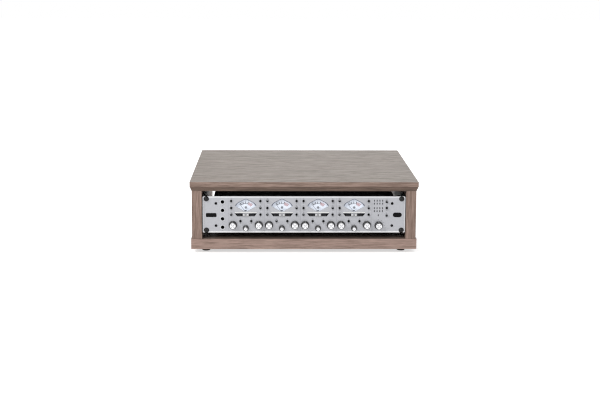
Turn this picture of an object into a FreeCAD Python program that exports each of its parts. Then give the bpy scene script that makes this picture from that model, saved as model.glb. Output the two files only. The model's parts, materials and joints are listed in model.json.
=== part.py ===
"""Four-channel rack compressor in its open desktop case.

Frame: millimetres, +X to the right, +Z up, the front panel faces -Y.
While a piece is being modelled, y = 0 is the front face of the rack panel,
x = 0 its middle and z = 0 the surface that the feet stand on.  write_node()
then moves everything back by Y_SHIFT, so that the origin ends up at the
bottom centre of the whole object.
"""
import FreeCAD, Part
import math
import os

from FreeCAD import Vector

# ---------------------------------------------------------------- rack panel
PANEL_WIDTH = 482.6          # 19 inch rack panel
PANEL_HEIGHT = 88.1          # two rack units
PANEL_THICK = 3.0
PANEL_CORNER = 3.0
PANEL_BEVEL_RISE = 2.4       # bright bevel along the upper and lower edge
PANEL_BEVEL_RUN = 1.0
RACK_HOLE_EDGE_X = 8.8       # rack hole to the end of the panel
RACK_HOLE_EDGE_Z = 5.95      # rack hole to the panel's upper or lower edge
RACK_SLOT_LENGTH = 10.0
RACK_SCREW_R = 2.9
SCREW_CLEARANCE = 0.2        # radial play of a screw in its hole
WASHER_R = 6.3
WASHER_THICK = 1.4
RACK_HEAD_R = 4.9
RACK_HEAD_HEIGHT = 3.6
RACK_SCREW_LENGTH = 16.0

# ------------------------------------------------------------- desktop case
PANEL_SIDE_GAP = 1.7         # panel end to the inner face of the case side
GAP_ABOVE = 13.8             # panel to the underside of the case top
GAP_BELOW = 13.7             # panel to the upper side of the case bottom
PANEL_RECESS = 5.0           # panel behind the front edges of the case sides
SIDE_THICK = 23.7
TOP_THICK = 22.3
TOP_DEPTH = 475.0
TOP_BEVEL_RISE = 11.5
TOP_BEVEL_RUN = 4.5
BASE_THICK = 25.0
BASE_OVERHANG = 2.2
FOOT_R = 10.0
FOOT_HEIGHT = 10.0
FOOT_INSET_X = 34.0
FOOT_INSET_Y = 34.0
FOOT_EDGE = 1.2
DOWEL_R = 4.0
DOWEL_LENGTH = 30.0
DOWEL_PLAY = 0.05
DOWEL_INSET = 60.0           # dowel to the front or rear edge of a case side

# --------------------------------------------------------------- rack rails
RAIL_THICK = 2.5
RAIL_FLANGE = 17.0
RAIL_DEPTH = 90.0
RAIL_EDGE = 0.55             # end of the rail to the panel's edge
RAIL_SCREW_R = 2.0
RAIL_HEAD_R = 4.0
RAIL_HEAD_HEIGHT = 2.0
RAIL_SCREW_LENGTH = 16.0
RAIL_SCREW_PITCH = 30.0

# ------------------------------------------------------------------ chassis
CHASSIS_INSET = 26.3         # side of the chassis to the end of the panel
CHASSIS_EDGE = 2.05          # chassis to the panel's upper or lower edge
CHASSIS_DEPTH = 311.0
TRAY_SHEET = 1.5
COVER_SHEET = 1.2
COVER_FLANGE = 14.0
TRAY_FRONT_FLANGE = 12.0
PANEL_SCREW_INSET = 5.2      # screw to the side of the chassis
PANEL_SCREW_EDGE = 17.05     # screw to the panel's upper or lower edge
PANEL_SCREW_R = 1.9
PANEL_HEAD_R = 3.2
PANEL_HEAD_HEIGHT = 1.9
PANEL_SCREW_LENGTH = 8.0
COVER_SCREW_R = 1.4
COVER_HEAD_R = 2.7
COVER_HEAD_HEIGHT = 1.6
COVER_SCREW_LENGTH = 6.0
COVER_SCREW_COUNT = 3
VENT_LENGTH = 42.0
VENT_WIDTH = 4.0
VENT_PITCH = 10.0
VENT_COUNT = 8

# ------------------------------------------------------------ panel controls
# EDGE is the distance from the nearer end of the panel, DROP the one down from
# its upper edge and RISE the one up from its lower edge.
CHANNELS_LEFT = 59.5         # panel left of the first channel
CHANNELS_RIGHT = 78.6        # room that the master section needs at the right end
CHANNEL_PITCH = 86.0
SIDE_TOGGLE_GAP = 6.3        # toggle column to the side of the meter's housing
SIDE_TOGGLE_DROP = (11.05, 28.05, 44.05)
CENTRE_TOGGLE_X = 12.8
CENTRE_TOGGLE_DROP = 59.85
KNOB_CHANNEL_EDGE = 12.2     # large knob to the edge of its channel
LARGE_KNOB_RISE = 18.65
SMALL_KNOB_RISE = 11.05
SELECTOR_EDGE = 63.0
SELECTOR_RISE = 17.55
MASTER_TOGGLE_EDGE = 44.4
MASTER_TOGGLE_DROP = (13.05, 27.75, 46.05)

# Which levers point up when the unit stands as drawn, channel by channel:
# left column top to bottom, centre pair left and right, right column.
LEVERS_UP = (
    (False, False, True, False, False, False, True, False),
    (True, False, True, True, False, False, True, False),
    (False, False, True, False, False, False, True, False),
    (True, False, True, False, False, False, True, False),
)
MASTER_LEVERS_UP = (True, False, True)

LEVER_TILT = 23.0            # each side of straight out, degrees
LEVER_PIVOT = 1.3            # pivot in front of the panel face
LEVER_BALL_R = 1.3
LEVER_NECK_R = 0.75
LEVER_TIP_R = 1.25
LEVER_LENGTH = 8.6
LEVER_SIDES = 8
BUSHING_R = 2.7
BUSHING_BORE_R = 1.6
BUSHING_REACH = 2.6
BUSHING_DEPTH = 1.8          # depth of the lever bore behind the pivot
NUT_R = 3.7
NUT_THICK = 1.1
NUT_SIDES = 6
BUSHING_SIDES = 12
PIVOT_PIN_R = 0.45           # cross pin through the lever's ball
PIVOT_PIN_PLAY = 0.05
TOGGLE_BODY_X = 6.6
TOGGLE_BODY_Z = 12.4
TOGGLE_BODY_Y = 9.0
HOLE_PLAY = 0.1              # radial play of a bushing in the panel

# --------------------------------------------------------- knobs, pot meters
KNOB_GAP = 0.8               # knob to panel
LARGE_SKIRT_R = 9.9
LARGE_CAP_R = 7.0
LARGE_KNOB_LENGTH = 12.7
SMALL_SKIRT_R = 7.1
SMALL_CAP_R = 4.2
SMALL_KNOB_LENGTH = 12.7
SKIRT_HEIGHT = 2.4
CAP_RIM = 0.9                # black rim around the bright cap
CAP_DEPTH = 0.9
CAP_CROWN = 0.4
CAP_PLAY = 0.05
POINTER_WIDTH = 0.9
POINTER_DEPTH = 0.35
SHAFT_R = 3.0
SHAFT_PLAY = 0.05
POT_BODY_R = 7.0
POT_BODY_DEPTH = 9.0
POT_BUSHING_R = 3.8
POT_NUT_FLATS = 8.6
POT_NUT_THICK = 1.8
POT_BUSHING_REACH = 2.0
NUT_ROOM = 0.35              # knob hollow around the pot's nut

# ------------------------------------------------------------------- meters
METER_DROP = 5.0             # top corner of the window, sharp, before rounding
METER_BROW_HALF = 20.5       # where the upper edge bends down, each side
METER_BROW_BELOW = 10.55     # those bends below the top corner
METER_HALF_WIDTH = 26.9      # side corners
METER_SIDE_BELOW = 18.35     # side corners below the top corner
METER_TIP_BELOW = 33.55      # lower corner below the top corner
METER_TOP_ROUND = 10.0
METER_BROW_ROUND = 15.0
METER_SIDE_ROUND = 2.5
METER_TIP_ROUND = 5.0
METER_WALL = 1.4
METER_BOX_SIDE = 1.5         # housing beyond the window's side corners
METER_BOX_TOP = 1.15         # housing beyond the window's top corner
METER_BOX_LOW = 7.0          # housing beyond the window's lower corner
METER_DEPTH = 22.0
LENS_THICK = 1.6
LENS_PLAY = 0.15
DIAL_DEPTH = 5.5             # dial face behind the panel's front face
DIAL_THICK = 1.0
NEEDLE_PIVOT_DROP = 0.8      # pivot below the window's lower corner
NEEDLE_LENGTH = 24.8
NEEDLE_TAIL = 1.5
NEEDLE_WIDTH = 0.8
NEEDLE_THICK = 0.4
NEEDLE_HUB_R = 2.4
NEEDLE_HUB_THICK = 1.2
NEEDLE_PIN_R = 0.8
NEEDLE_PIN_PLAY = 0.05
NEEDLE_GAP = 0.4             # hub to dial
NEEDLE_REST = 37.0           # left of upright at rest, degrees

# ------------------------------------------------- jacks, lamps, label plates
JACK_EDGE = 47.3
JACK_END = 13.3              # outer jacks to the panel's upper and lower edge
JACK_COUNT = 4
JACK_BORE_R = 3.25
JACK_BORE_DEPTH = 22.0
JACK_MOUTH_R = 4.3
JACK_MOUTH_DEPTH = 1.2
JACK_BUSHING_R = 5.2
JACK_RING_R = 6.1
JACK_RING_THICK = 1.2
JACK_BODY = 14.0
JACK_BODY_DEPTH = 24.0
LAMP_EDGE = 54.4
LAMP_PITCH = 6.5
LAMP_COLUMNS = 4
LAMP_DROP = (10.35, 17.55, 28.45, 35.55)
POWER_LAMP_EDGE = 64.2
POWER_LAMP_DROP = 45.85
LAMP_WIDTH = 2.0
LAMP_HEIGHT = 4.2
LAMP_PROUD = 0.4
LAMP_LENGTH = 6.0
LAMP_PLAY = 0.1
PLATE_THICK = 0.8
PLATE_TOP_HALF = 26.0
PLATE_LOW_HALF = 20.5
PLATE_DROP = 41.35
PLATE_HEIGHT = 6.9
NUMBER_HALF = 7.4
NUMBER_DROP = 41.15
NUMBER_HEIGHT = 8.9
NUMBER_THICK = 1.1
STRIP_DROP = 38.95
STRIP_HEIGHT = 1.6
BADGE_EDGE = 20.3
BADGE_DROP = 45.35
BADGE_WIDTH = 25.0
BADGE_HEIGHT = 9.4
EMBLEM_EDGE = 18.8
EMBLEM_DROP = 44.85
EMBLEM_WIDTH = 21.0
EMBLEM_HEIGHT = 11.0
BADGE_CORNER = 2.4

# ----------------------------------------------------- inside and rear panel
BOARD_THICK = 1.6
BOARD_SIDE_GAP = 18.8
BOARD_TOROID_GAP = 15.0
BOARD_FRONT_GAP = 18.0
BOARD_REAR_GAP = 14.0
STANDOFF_R = 3.0
STANDOFF_HEIGHT = 8.0
STANDOFF_INSET = 8.0
CAN_WIDTH = 22.0
CAN_DEPTH = 26.0
CAN_HEIGHT = 28.0
CAN_INSET = 25.0
CAPACITOR_R = 11.0
CAPACITOR_HEIGHT = 40.0
CAPACITOR_INSET_X = 25.0
CAPACITOR_COUNT = 4
CAPACITOR_PITCH = 27.0
CAPACITOR_INSET_Y = 29.0
TOROID_R = 45.0
TOROID_HOLE_R = 12.0
TOROID_HEIGHT = 38.0
TOROID_ROUND = 9.0
TOROID_SIDE_GAP = 12.3
TOROID_INLET_GAP = 12.0
TOROID_DISH_R = 30.0
TOROID_DISH_THICK = 2.0
TOROID_BOLT_R = 4.0
TOROID_NUT_R = 7.5
TOROID_NUT_HEIGHT = 6.0
XLR_EDGE = 30.0              # first socket to the side of the chassis
XLR_PITCH = 38.0
XLR_WIDTH = 26.0
XLR_HEIGHT = 31.0
XLR_FLANGE = 1.8
XLR_BODY_R = 11.8
XLR_BODY_DEPTH = 20.0
XLR_REACH = 3.0
XLR_INSERT_R = 8.6
XLR_GROOVE = 1.4
XLR_GROOVE_DEPTH = 3.0
XLR_PIN_R = 1.4
XLR_PIN_CIRCLE = 4.4
XLR_PIN_DEPTH = 8.0
DSUB_COUNT = 2
DSUB_XLR_GAP = 19.5
DSUB_GAP = 9.0
DSUB_FLANGE_WIDTH = 53.0
DSUB_FLANGE_HEIGHT = 12.5
DSUB_FLANGE_THICK = 1.0
DSUB_SHELL_TOP = 20.0        # half width along the longer side of the D
DSUB_SHELL_LOW = 18.6
DSUB_SHELL_HEIGHT = 8.4
DSUB_REACH = 6.0
DSUB_BODY_DEPTH = 11.0
INLET_EDGE = 55.0
INLET_WIDTH = 50.0
INLET_HEIGHT = 28.0
INLET_FLANGE = 2.5
INLET_CORNER = 4.0
INLET_BODY_WIDTH = 27.6
INLET_BODY_HEIGHT = 20.6
INLET_BODY_DEPTH = 22.0
INLET_MOUTH_WIDTH = 24.2
INLET_MOUTH_HEIGHT = 16.8
INLET_MOUTH_DEPTH = 17.0
INLET_BLADE_LENGTH = 11.0
INLET_BLADE_THICK = 2.0
INLET_BLADE_HEIGHT = 4.0
INLET_BLADE_PITCH = 7.0
INLET_BLADE_DROP = 2.0

# ----------------------------------------------- places that follow from them
PANEL_END = PANEL_WIDTH / 2
PANEL_EDGE = PANEL_HEIGHT / 2
SIDE_IN = PANEL_END + PANEL_SIDE_GAP
SIDE_OUT = SIDE_IN + SIDE_THICK
BASE_LOW = FOOT_HEIGHT
BASE_HIGH = BASE_LOW + BASE_THICK
PANEL_LOW = BASE_HIGH + GAP_BELOW
PANEL_HIGH = PANEL_LOW + PANEL_HEIGHT
PANEL_MID = (PANEL_LOW + PANEL_HIGH) / 2
OPEN_HIGH = PANEL_HIGH + GAP_ABOVE
CASE_HIGH = OPEN_HIGH + TOP_THICK
SIDE_FRONT = -PANEL_RECESS
TOP_FRONT = SIDE_FRONT - TOP_BEVEL_RUN
TOP_REAR = TOP_FRONT + TOP_DEPTH
SIDE_REAR = TOP_REAR - TOP_BEVEL_RUN
TOP_HALF = SIDE_OUT + TOP_BEVEL_RUN
BASE_FRONT = SIDE_FRONT - BASE_OVERHANG
BASE_HALF = SIDE_OUT + BASE_OVERHANG
PANEL_BACK = PANEL_THICK
CHASSIS_BACK = PANEL_BACK + CHASSIS_DEPTH
CHASSIS_HALF = PANEL_END - CHASSIS_INSET
CHASSIS_LOW = PANEL_LOW + CHASSIS_EDGE
CHASSIS_HIGH = PANEL_HIGH - CHASSIS_EDGE
TRAY_HALF = CHASSIS_HALF - COVER_SHEET
TRAY_HIGH = CHASSIS_HIGH - COVER_SHEET
FLOOR = CHASSIS_LOW + TRAY_SHEET
KNOB_FACE = KNOB_GAP + max(LARGE_KNOB_LENGTH, SMALL_KNOB_LENGTH) + CAP_CROWN
Y_SHIFT = -(TOP_REAR - KNOB_FACE) / 2

# On the panel, x is from its middle and z from its middle height.
RACK_HOLE_X = PANEL_END - RACK_HOLE_EDGE_X
RACK_HOLE_Z = PANEL_EDGE - RACK_HOLE_EDGE_Z
PANEL_SCREW_X = CHASSIS_HALF - PANEL_SCREW_INSET
PANEL_SCREW_Z = PANEL_EDGE - PANEL_SCREW_EDGE
CHANNEL_COUNT = int((PANEL_WIDTH - CHANNELS_LEFT - CHANNELS_RIGHT) / CHANNEL_PITCH)
CHANNEL_X = [CHANNELS_LEFT - PANEL_END + CHANNEL_PITCH * (i + 0.5) for i in range(CHANNEL_COUNT)]
METER_TOP_Z = PANEL_EDGE - METER_DROP
METER_BROW_Z = METER_TOP_Z - METER_BROW_BELOW
METER_SIDE_Z = METER_TOP_Z - METER_SIDE_BELOW
METER_TIP_Z = METER_TOP_Z - METER_TIP_BELOW
METER_BOX_HALF_WIDTH = METER_HALF_WIDTH + METER_BOX_SIDE
METER_BOX_TOP_Z = METER_TOP_Z + METER_BOX_TOP
METER_BOX_LOW_Z = METER_TIP_Z - METER_BOX_LOW
NEEDLE_PIVOT_Z = METER_TIP_Z - NEEDLE_PIVOT_DROP
SIDE_TOGGLE_X = METER_BOX_HALF_WIDTH + SIDE_TOGGLE_GAP
SIDE_TOGGLE_Z = [PANEL_EDGE - drop for drop in SIDE_TOGGLE_DROP]
CENTRE_TOGGLE_Z = PANEL_EDGE - CENTRE_TOGGLE_DROP
LARGE_KNOB_X = CHANNEL_PITCH / 2 - KNOB_CHANNEL_EDGE
LARGE_KNOB_Z = LARGE_KNOB_RISE - PANEL_EDGE
SMALL_KNOB_Z = SMALL_KNOB_RISE - PANEL_EDGE
SELECTOR_X = PANEL_END - SELECTOR_EDGE
SELECTOR_Z = SELECTOR_RISE - PANEL_EDGE
MASTER_TOGGLE_X = PANEL_END - MASTER_TOGGLE_EDGE
MASTER_TOGGLE_Z = [PANEL_EDGE - drop for drop in MASTER_TOGGLE_DROP]
JACK_X = JACK_EDGE - PANEL_END
JACK_PITCH = (PANEL_HEIGHT - 2 * JACK_END) / (JACK_COUNT - 1)
JACK_Z = [JACK_PITCH * (i - (JACK_COUNT - 1) / 2) for i in range(JACK_COUNT)]
LAMP_X = [PANEL_END - LAMP_EDGE - LAMP_PITCH * i for i in range(LAMP_COLUMNS)]
LAMP_Z = [PANEL_EDGE - drop for drop in LAMP_DROP]
POWER_LAMP_X = PANEL_END - POWER_LAMP_EDGE
POWER_LAMP_Z = PANEL_EDGE - POWER_LAMP_DROP
PLATE_TOP_Z = PANEL_EDGE - PLATE_DROP
PLATE_LOW_Z = PLATE_TOP_Z - PLATE_HEIGHT
NUMBER_Z = PANEL_EDGE - NUMBER_DROP - NUMBER_HEIGHT / 2
STRIP_Z = PANEL_EDGE - STRIP_DROP
BADGE_X = BADGE_EDGE - PANEL_END
BADGE_Z = PANEL_EDGE - BADGE_DROP
EMBLEM_X = PANEL_END - EMBLEM_EDGE
EMBLEM_Z = PANEL_EDGE - EMBLEM_DROP

# Inside the chassis and on its rear wall.
TOROID_X = TRAY_HALF - TRAY_SHEET - TOROID_SIDE_GAP - TOROID_R
TOROID_Y = CHASSIS_BACK - INLET_BODY_DEPTH - TOROID_INLET_GAP - TOROID_R
BOARD_LEFT = BOARD_SIDE_GAP - TRAY_HALF
BOARD_RIGHT = TOROID_X - TOROID_R - BOARD_TOROID_GAP
BOARD_FRONT = PANEL_BACK + max(METER_DEPTH, JACK_BODY_DEPTH) + BOARD_FRONT_GAP
BOARD_REAR = CHASSIS_BACK - BOARD_REAR_GAP
CAN_Y = BOARD_FRONT + CAN_INSET
CAPACITOR_X = BOARD_RIGHT - CAPACITOR_INSET_X
XLR_X = [XLR_EDGE - CHASSIS_HALF + XLR_PITCH * i for i in range(CHANNEL_COUNT)]
DSUB_FIRST_X = XLR_X[-1] + XLR_WIDTH / 2 + DSUB_XLR_GAP + DSUB_FLANGE_WIDTH / 2
DSUB_X = [DSUB_FIRST_X + (DSUB_FLANGE_WIDTH + DSUB_GAP) * i for i in range(DSUB_COUNT)]
INLET_X = CHASSIS_HALF - INLET_EDGE


# ------------------------------------------------------------------- helpers
def box(x0, x1, y0, y1, z0, z1):
    return Part.makeBox(x1 - x0, y1 - y0, z1 - z0, Vector(x0, y0, z0))


def rod_y(x, z, radius, y0, y1):
    """A round bar along Y."""
    return Part.makeCylinder(radius, y1 - y0, Vector(x, y0, z), Vector(0, 1, 0))


def rod_z(x, y, radius, z0, z1):
    return Part.makeCylinder(radius, z1 - z0, Vector(x, y, z0), Vector(0, 0, 1))


def rod_x(y, z, radius, x0, x1):
    return Part.makeCylinder(radius, x1 - x0, Vector(x0, y, z), Vector(1, 0, 0))


def plate_xz(corners, y0, y1):
    """A flat plate with its outline in the XZ plane."""
    points = [Vector(x, y0, z) for x, z in corners]
    face = Part.Face(Part.makePolygon(points + points[:1]))
    return face.extrude(Vector(0, y1 - y0, 0))


def round_plate(half_width, half_height, corner, x, z, y0, y1):
    """A rectangular plate in the XZ plane with rounded corners."""
    block = box(x - half_width, x + half_width, y0, y1, z - half_height, z + half_height)
    edges = [e for e in block.Edges if along_y(e)]
    return block.makeFillet(corner, edges)


def along_y(edge):
    start, end = edge.Vertexes[0].Point, edge.Vertexes[-1].Point
    return abs(start.x - end.x) < 1e-6 and abs(start.z - end.z) < 1e-6


def spun(profile, x, z):
    """A solid turned about the axis along Y at (x, z); profile is (radius, y)."""
    points = [Vector(r, y, 0) for r, y in profile]
    face = Part.Face(Part.makePolygon(points + points[:1]))
    solid = face.revolve(Vector(0, 0, 0), Vector(0, 1, 0), 360)
    solid.translate(Vector(x, 0, z))
    return solid


def faceted(profile, sides):
    """A small turned piece with flat sides, about the Y axis at the origin.

    profile runs from end to end as (radius, y); its first and last radius may be 0.
    """
    rings = []
    for radius, y in profile:
        steps = [2 * math.pi * (k + 0.5) / sides for k in range(sides)]
        rings.append([Vector(radius * math.cos(a), y, radius * math.sin(a)) for a in steps])
    faces = []
    for (radius0, y0), (radius1, y1), near, far in zip(profile, profile[1:], rings, rings[1:]):
        if radius0 == 0 and radius1 == 0:
            continue
        if y0 == y1 and 0 in (radius0, radius1):
            rim = near if radius1 == 0 else far
            faces.append(Part.Face(Part.makePolygon(rim + rim[:1])))
            continue
        for k in range(sides):
            n = (k + 1) % sides
            if radius0 == 0:
                corners = [near[k], far[k], far[n]]
            elif radius1 == 0:
                corners = [near[k], far[k], near[n]]
            else:
                corners = [near[k], far[k], far[n], near[n]]
            faces.append(Part.Face(Part.makePolygon(corners + corners[:1])))
    solid = Part.Solid(Part.Shell(faces))
    if solid.Volume < 0:
        solid.reverse()
    return solid


def mirrored(shape):
    return shape.mirror(Vector(0, 0, 0), Vector(1, 0, 0))


def write_node(name, solids):
    group = Part.makeCompound([s.copy() for s in solids])
    group.translate(Vector(0, Y_SHIFT, 0))
    for solid in group.Solids:
        if not solid.isValid():
            raise RuntimeError("solid of " + name + " isn't valid")
    group.exportStep(os.path.join("parts", name + ".step"))
    print(name, len(group.Solids))


# -------------------------------------------------------------- desktop case
def dowel_places():
    """Axis (x, y) and height range of each dowel in the case's corners."""
    x = (SIDE_IN + SIDE_OUT) / 2
    spots = []
    for side in (-1, 1):
        for y in (SIDE_FRONT + DOWEL_INSET, SIDE_REAR - DOWEL_INSET):
            for joint in (BASE_HIGH, OPEN_HIGH):
                spots.append((side * x, y, joint))
    return spots


def dowel_reach(joint):
    """How far a dowel goes below and above the joint it holds."""
    if joint == BASE_HIGH:
        return DOWEL_LENGTH / 2, DOWEL_LENGTH / 2
    above = TOP_THICK / 2
    return DOWEL_LENGTH - above, above


def dowels(play):
    rods = []
    for x, y, joint in dowel_places():
        below, above = dowel_reach(joint)
        rods.append(rod_z(x, y, DOWEL_R + play, joint - below - play, joint + above + play))
    return rods


def case_top():
    plank_low = CASE_HIGH - (TOP_THICK - TOP_BEVEL_RISE)
    plank = box(-TOP_HALF, TOP_HALF, TOP_FRONT, TOP_REAR, plank_low, CASE_HIGH)
    outlines = []
    for inset, z in ((TOP_BEVEL_RUN, OPEN_HIGH), (0.0, plank_low)):
        half = TOP_HALF - inset
        front, rear = TOP_FRONT + inset, TOP_REAR - inset
        corners = [Vector(-half, front, z), Vector(half, front, z),
                   Vector(half, rear, z), Vector(-half, rear, z)]
        outlines.append(Part.makePolygon(corners + corners[:1]))
    bevel = Part.makeLoft(outlines, True, True)
    return plank.fuse(bevel).removeSplitter().cut(dowels(DOWEL_PLAY))


def case_bottom():
    board = box(-BASE_HALF, BASE_HALF, BASE_FRONT, SIDE_REAR, BASE_LOW, BASE_HIGH)
    return board.cut(dowels(DOWEL_PLAY))


def case_side():
    """The left side; the right one is its mirror image."""
    board = box(-SIDE_OUT, -SIDE_IN, SIDE_FRONT, SIDE_REAR, BASE_HIGH, OPEN_HIGH)
    return board.cut(dowels(DOWEL_PLAY) + rail_screw_rods(SCREW_CLEARANCE))


def case_feet():
    feet = []
    for x in (-1, 1):
        for y in (BASE_FRONT + FOOT_INSET_Y, SIDE_REAR - FOOT_INSET_Y):
            foot = rod_z(x * (BASE_HALF - FOOT_INSET_X), y, FOOT_R, 0, FOOT_HEIGHT)
            rim = [e for e in foot.Edges if e.BoundBox.ZMax < FOOT_EDGE and e.Closed]
            feet.append(foot.makeChamfer(FOOT_EDGE, rim))
    return feet


# ---------------------------------------------------------------- rack rails
def rail_screw_spots():
    """(y, z) of the screws that hold the left rail to the case side."""
    y = PANEL_BACK + RAIL_DEPTH / 2
    return [(y, PANEL_MID + RAIL_SCREW_PITCH * step) for step in (-1, 0, 1)]


def rail_screw_rods(play):
    tip = -SIDE_IN + RAIL_THICK - RAIL_SCREW_LENGTH
    return [rod_x(y, z, RAIL_SCREW_R + play, tip - play, -SIDE_IN + RAIL_THICK)
            for y, z in rail_screw_spots()]


def rack_rail():
    """Steel angle on the left case side: its flange takes the rack screws."""
    low, high = PANEL_LOW + RAIL_EDGE, PANEL_HIGH - RAIL_EDGE
    back = PANEL_BACK + RAIL_DEPTH
    flange = box(-SIDE_IN, -SIDE_IN + RAIL_FLANGE, PANEL_BACK, PANEL_BACK + RAIL_THICK, low, high)
    leg = box(-SIDE_IN, -SIDE_IN + RAIL_THICK, PANEL_BACK, back, low, high)
    angle = flange.fuse(leg).removeSplitter()
    threads = [rod_y(-RACK_HOLE_X, PANEL_MID + z, RACK_SCREW_R + SCREW_CLEARANCE / 2,
                     PANEL_BACK - 1, PANEL_BACK + RAIL_THICK + 1)
               for z in (-RACK_HOLE_Z, RACK_HOLE_Z)]
    return angle.cut(threads + rail_screw_rods(SCREW_CLEARANCE))


def rail_screws():
    heads = []
    for (y, z), rod in zip(rail_screw_spots(), rail_screw_rods(0)):
        inner = -SIDE_IN + RAIL_THICK
        heads.append(rod.fuse(rod_x(y, z, RAIL_HEAD_R, inner, inner + RAIL_HEAD_HEIGHT)))
    return heads


def rack_screws():
    """Pan-head screws, each with its cup washer, in the four rack slots."""
    pieces = []
    for x in (-RACK_HOLE_X, RACK_HOLE_X):
        for z in (PANEL_MID - RACK_HOLE_Z, PANEL_MID + RACK_HOLE_Z):
            bore = rod_y(x, z, RACK_SCREW_R + SCREW_CLEARANCE, -WASHER_THICK - 1, 1)
            washer = spun([(0, -WASHER_THICK), (WASHER_R - 1.0, -WASHER_THICK),
                           (WASHER_R, -WASHER_THICK / 3), (WASHER_R, 0), (0, 0)], x, z)
            front = -WASHER_THICK - RACK_HEAD_HEIGHT
            screw = spun([(0, front), (RACK_HEAD_R * 0.62, front),
                          (RACK_HEAD_R, front + RACK_HEAD_HEIGHT * 0.5), (RACK_HEAD_R, -WASHER_THICK),
                          (RACK_SCREW_R, -WASHER_THICK), (RACK_SCREW_R, RACK_SCREW_LENGTH),
                          (0, RACK_SCREW_LENGTH)], x, z)
            pieces += [washer.cut(bore), screw]
    return pieces


# --------------------------------------------------------------- front panel
def meter_window(x, play, y0, y1):
    """Fan-shaped window with an arched upper edge and rounded corners."""
    corners = [(0, METER_TOP_Z, METER_TOP_ROUND),
               (METER_BROW_HALF, METER_BROW_Z, METER_BROW_ROUND),
               (METER_HALF_WIDTH, METER_SIDE_Z, METER_SIDE_ROUND),
               (0, METER_TIP_Z, METER_TIP_ROUND),
               (-METER_HALF_WIDTH, METER_SIDE_Z, METER_SIDE_ROUND),
               (-METER_BROW_HALF, METER_BROW_Z, METER_BROW_ROUND)]
    plate = plate_xz([(x + cx, PANEL_MID + cz) for cx, cz, radius in corners], y0, y1)
    for cx, cz, radius in corners:
        edge = [e for e in plate.Edges if along_y(e)
                and abs(e.Vertexes[0].Point.x - x - cx) < 1e-4
                and abs(e.Vertexes[0].Point.z - PANEL_MID - cz) < 1e-4]
        plate = plate.makeFillet(radius, edge)
    if play:
        middle = Vector(x, 0, PANEL_MID + METER_SIDE_Z)
        matrix = FreeCAD.Matrix()
        matrix.move(middle * -1)
        matrix.scale(1 - play / METER_HALF_WIDTH, 1, 1 - play / (METER_TOP_Z - METER_SIDE_Z))
        matrix.move(middle)
        plate = plate.transformGeometry(matrix)
    return plate


def toggle_spots():
    """(name, x, z, lever points up) of every toggle switch."""
    spots = []
    for index, x in enumerate(CHANNEL_X):
        number = index + 1
        up = LEVERS_UP[index % len(LEVERS_UP)]
        places = [("left_" + row, x - SIDE_TOGGLE_X, z)
                  for row, z in zip(("top", "middle", "low"), SIDE_TOGGLE_Z)]
        places += [("centre_left", x - CENTRE_TOGGLE_X, CENTRE_TOGGLE_Z),
                   ("centre_right", x + CENTRE_TOGGLE_X, CENTRE_TOGGLE_Z)]
        places += [("right_" + row, x + SIDE_TOGGLE_X, z)
                   for row, z in zip(("top", "middle", "low"), SIDE_TOGGLE_Z)]
        for (place, px, pz), is_up in zip(places, up):
            spots.append(("ch%d_toggle_%s" % (number, place), px, pz, is_up))
    for row, z, is_up in zip(("top", "middle", "low"), MASTER_TOGGLE_Z, MASTER_LEVERS_UP):
        spots.append(("master_toggle_" + row, MASTER_TOGGLE_X, z, is_up))
    return spots


def knob_spots():
    """(name, x, z, large) of every knob."""
    spots = []
    for number, x in enumerate(CHANNEL_X, 1):
        spots.append(("ch%d_knob_left" % number, x - LARGE_KNOB_X, LARGE_KNOB_Z, True))
        spots.append(("ch%d_knob_centre" % number, x, SMALL_KNOB_Z, False))
        spots.append(("ch%d_knob_right" % number, x + LARGE_KNOB_X, LARGE_KNOB_Z, True))
    spots.append(("selector_knob", SELECTOR_X, SELECTOR_Z, True))
    return spots


def lamp_spots():
    spots = [(x, z) for x in LAMP_X for z in LAMP_Z]
    return spots + [(POWER_LAMP_X, POWER_LAMP_Z)]


def front_panel():
    low, high = PANEL_LOW, PANEL_HIGH
    run, rise = PANEL_BEVEL_RUN, PANEL_BEVEL_RISE
    profile = [(PANEL_BACK, low), (run, low), (0, low + rise),
               (0, high - rise), (run, high), (PANEL_BACK, high)]
    points = [Vector(-PANEL_END, y, z) for y, z in profile]
    slab = Part.Face(Part.makePolygon(points + points[:1])).extrude(Vector(PANEL_WIDTH, 0, 0))
    outline = round_plate(PANEL_END, PANEL_EDGE, PANEL_CORNER, 0, PANEL_MID, -1, PANEL_BACK + 1)
    slab = slab.common(outline)
    front, back = -1, PANEL_BACK + 1
    tools = []
    half_slot = RACK_SLOT_LENGTH / 2
    for x in (-RACK_HOLE_X, RACK_HOLE_X):
        for z in (PANEL_MID - RACK_HOLE_Z, PANEL_MID + RACK_HOLE_Z):
            radius = RACK_SCREW_R + SCREW_CLEARANCE
            tools.append(round_plate(half_slot, radius, radius * 0.99, x, z, front, back))
    for x in (-PANEL_SCREW_X, PANEL_SCREW_X):
        for z in (-PANEL_SCREW_Z, PANEL_SCREW_Z):
            tools.append(rod_y(x, PANEL_MID + z, PANEL_SCREW_R + SCREW_CLEARANCE, front, back))
    for x in CHANNEL_X:
        tools.append(meter_window(x, 0, front, back))
    for name, x, z, is_up in toggle_spots():
        tools.append(rod_y(x, PANEL_MID + z, BUSHING_R + HOLE_PLAY, front, back))
    for name, x, z, large in knob_spots():
        tools.append(rod_y(x, PANEL_MID + z, POT_BUSHING_R + HOLE_PLAY, front, back))
    for z in JACK_Z:
        tools.append(rod_y(JACK_X, PANEL_MID + z, JACK_BUSHING_R + HOLE_PLAY, front, back))
    for x, z in lamp_spots():
        half_x = LAMP_WIDTH / 2 + LAMP_PLAY
        half_z = LAMP_HEIGHT / 2 + LAMP_PLAY
        tools.append(box(x - half_x, x + half_x, front, back,
                         PANEL_MID + z - half_z, PANEL_MID + z + half_z))
    return slab.cut(tools)


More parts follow.
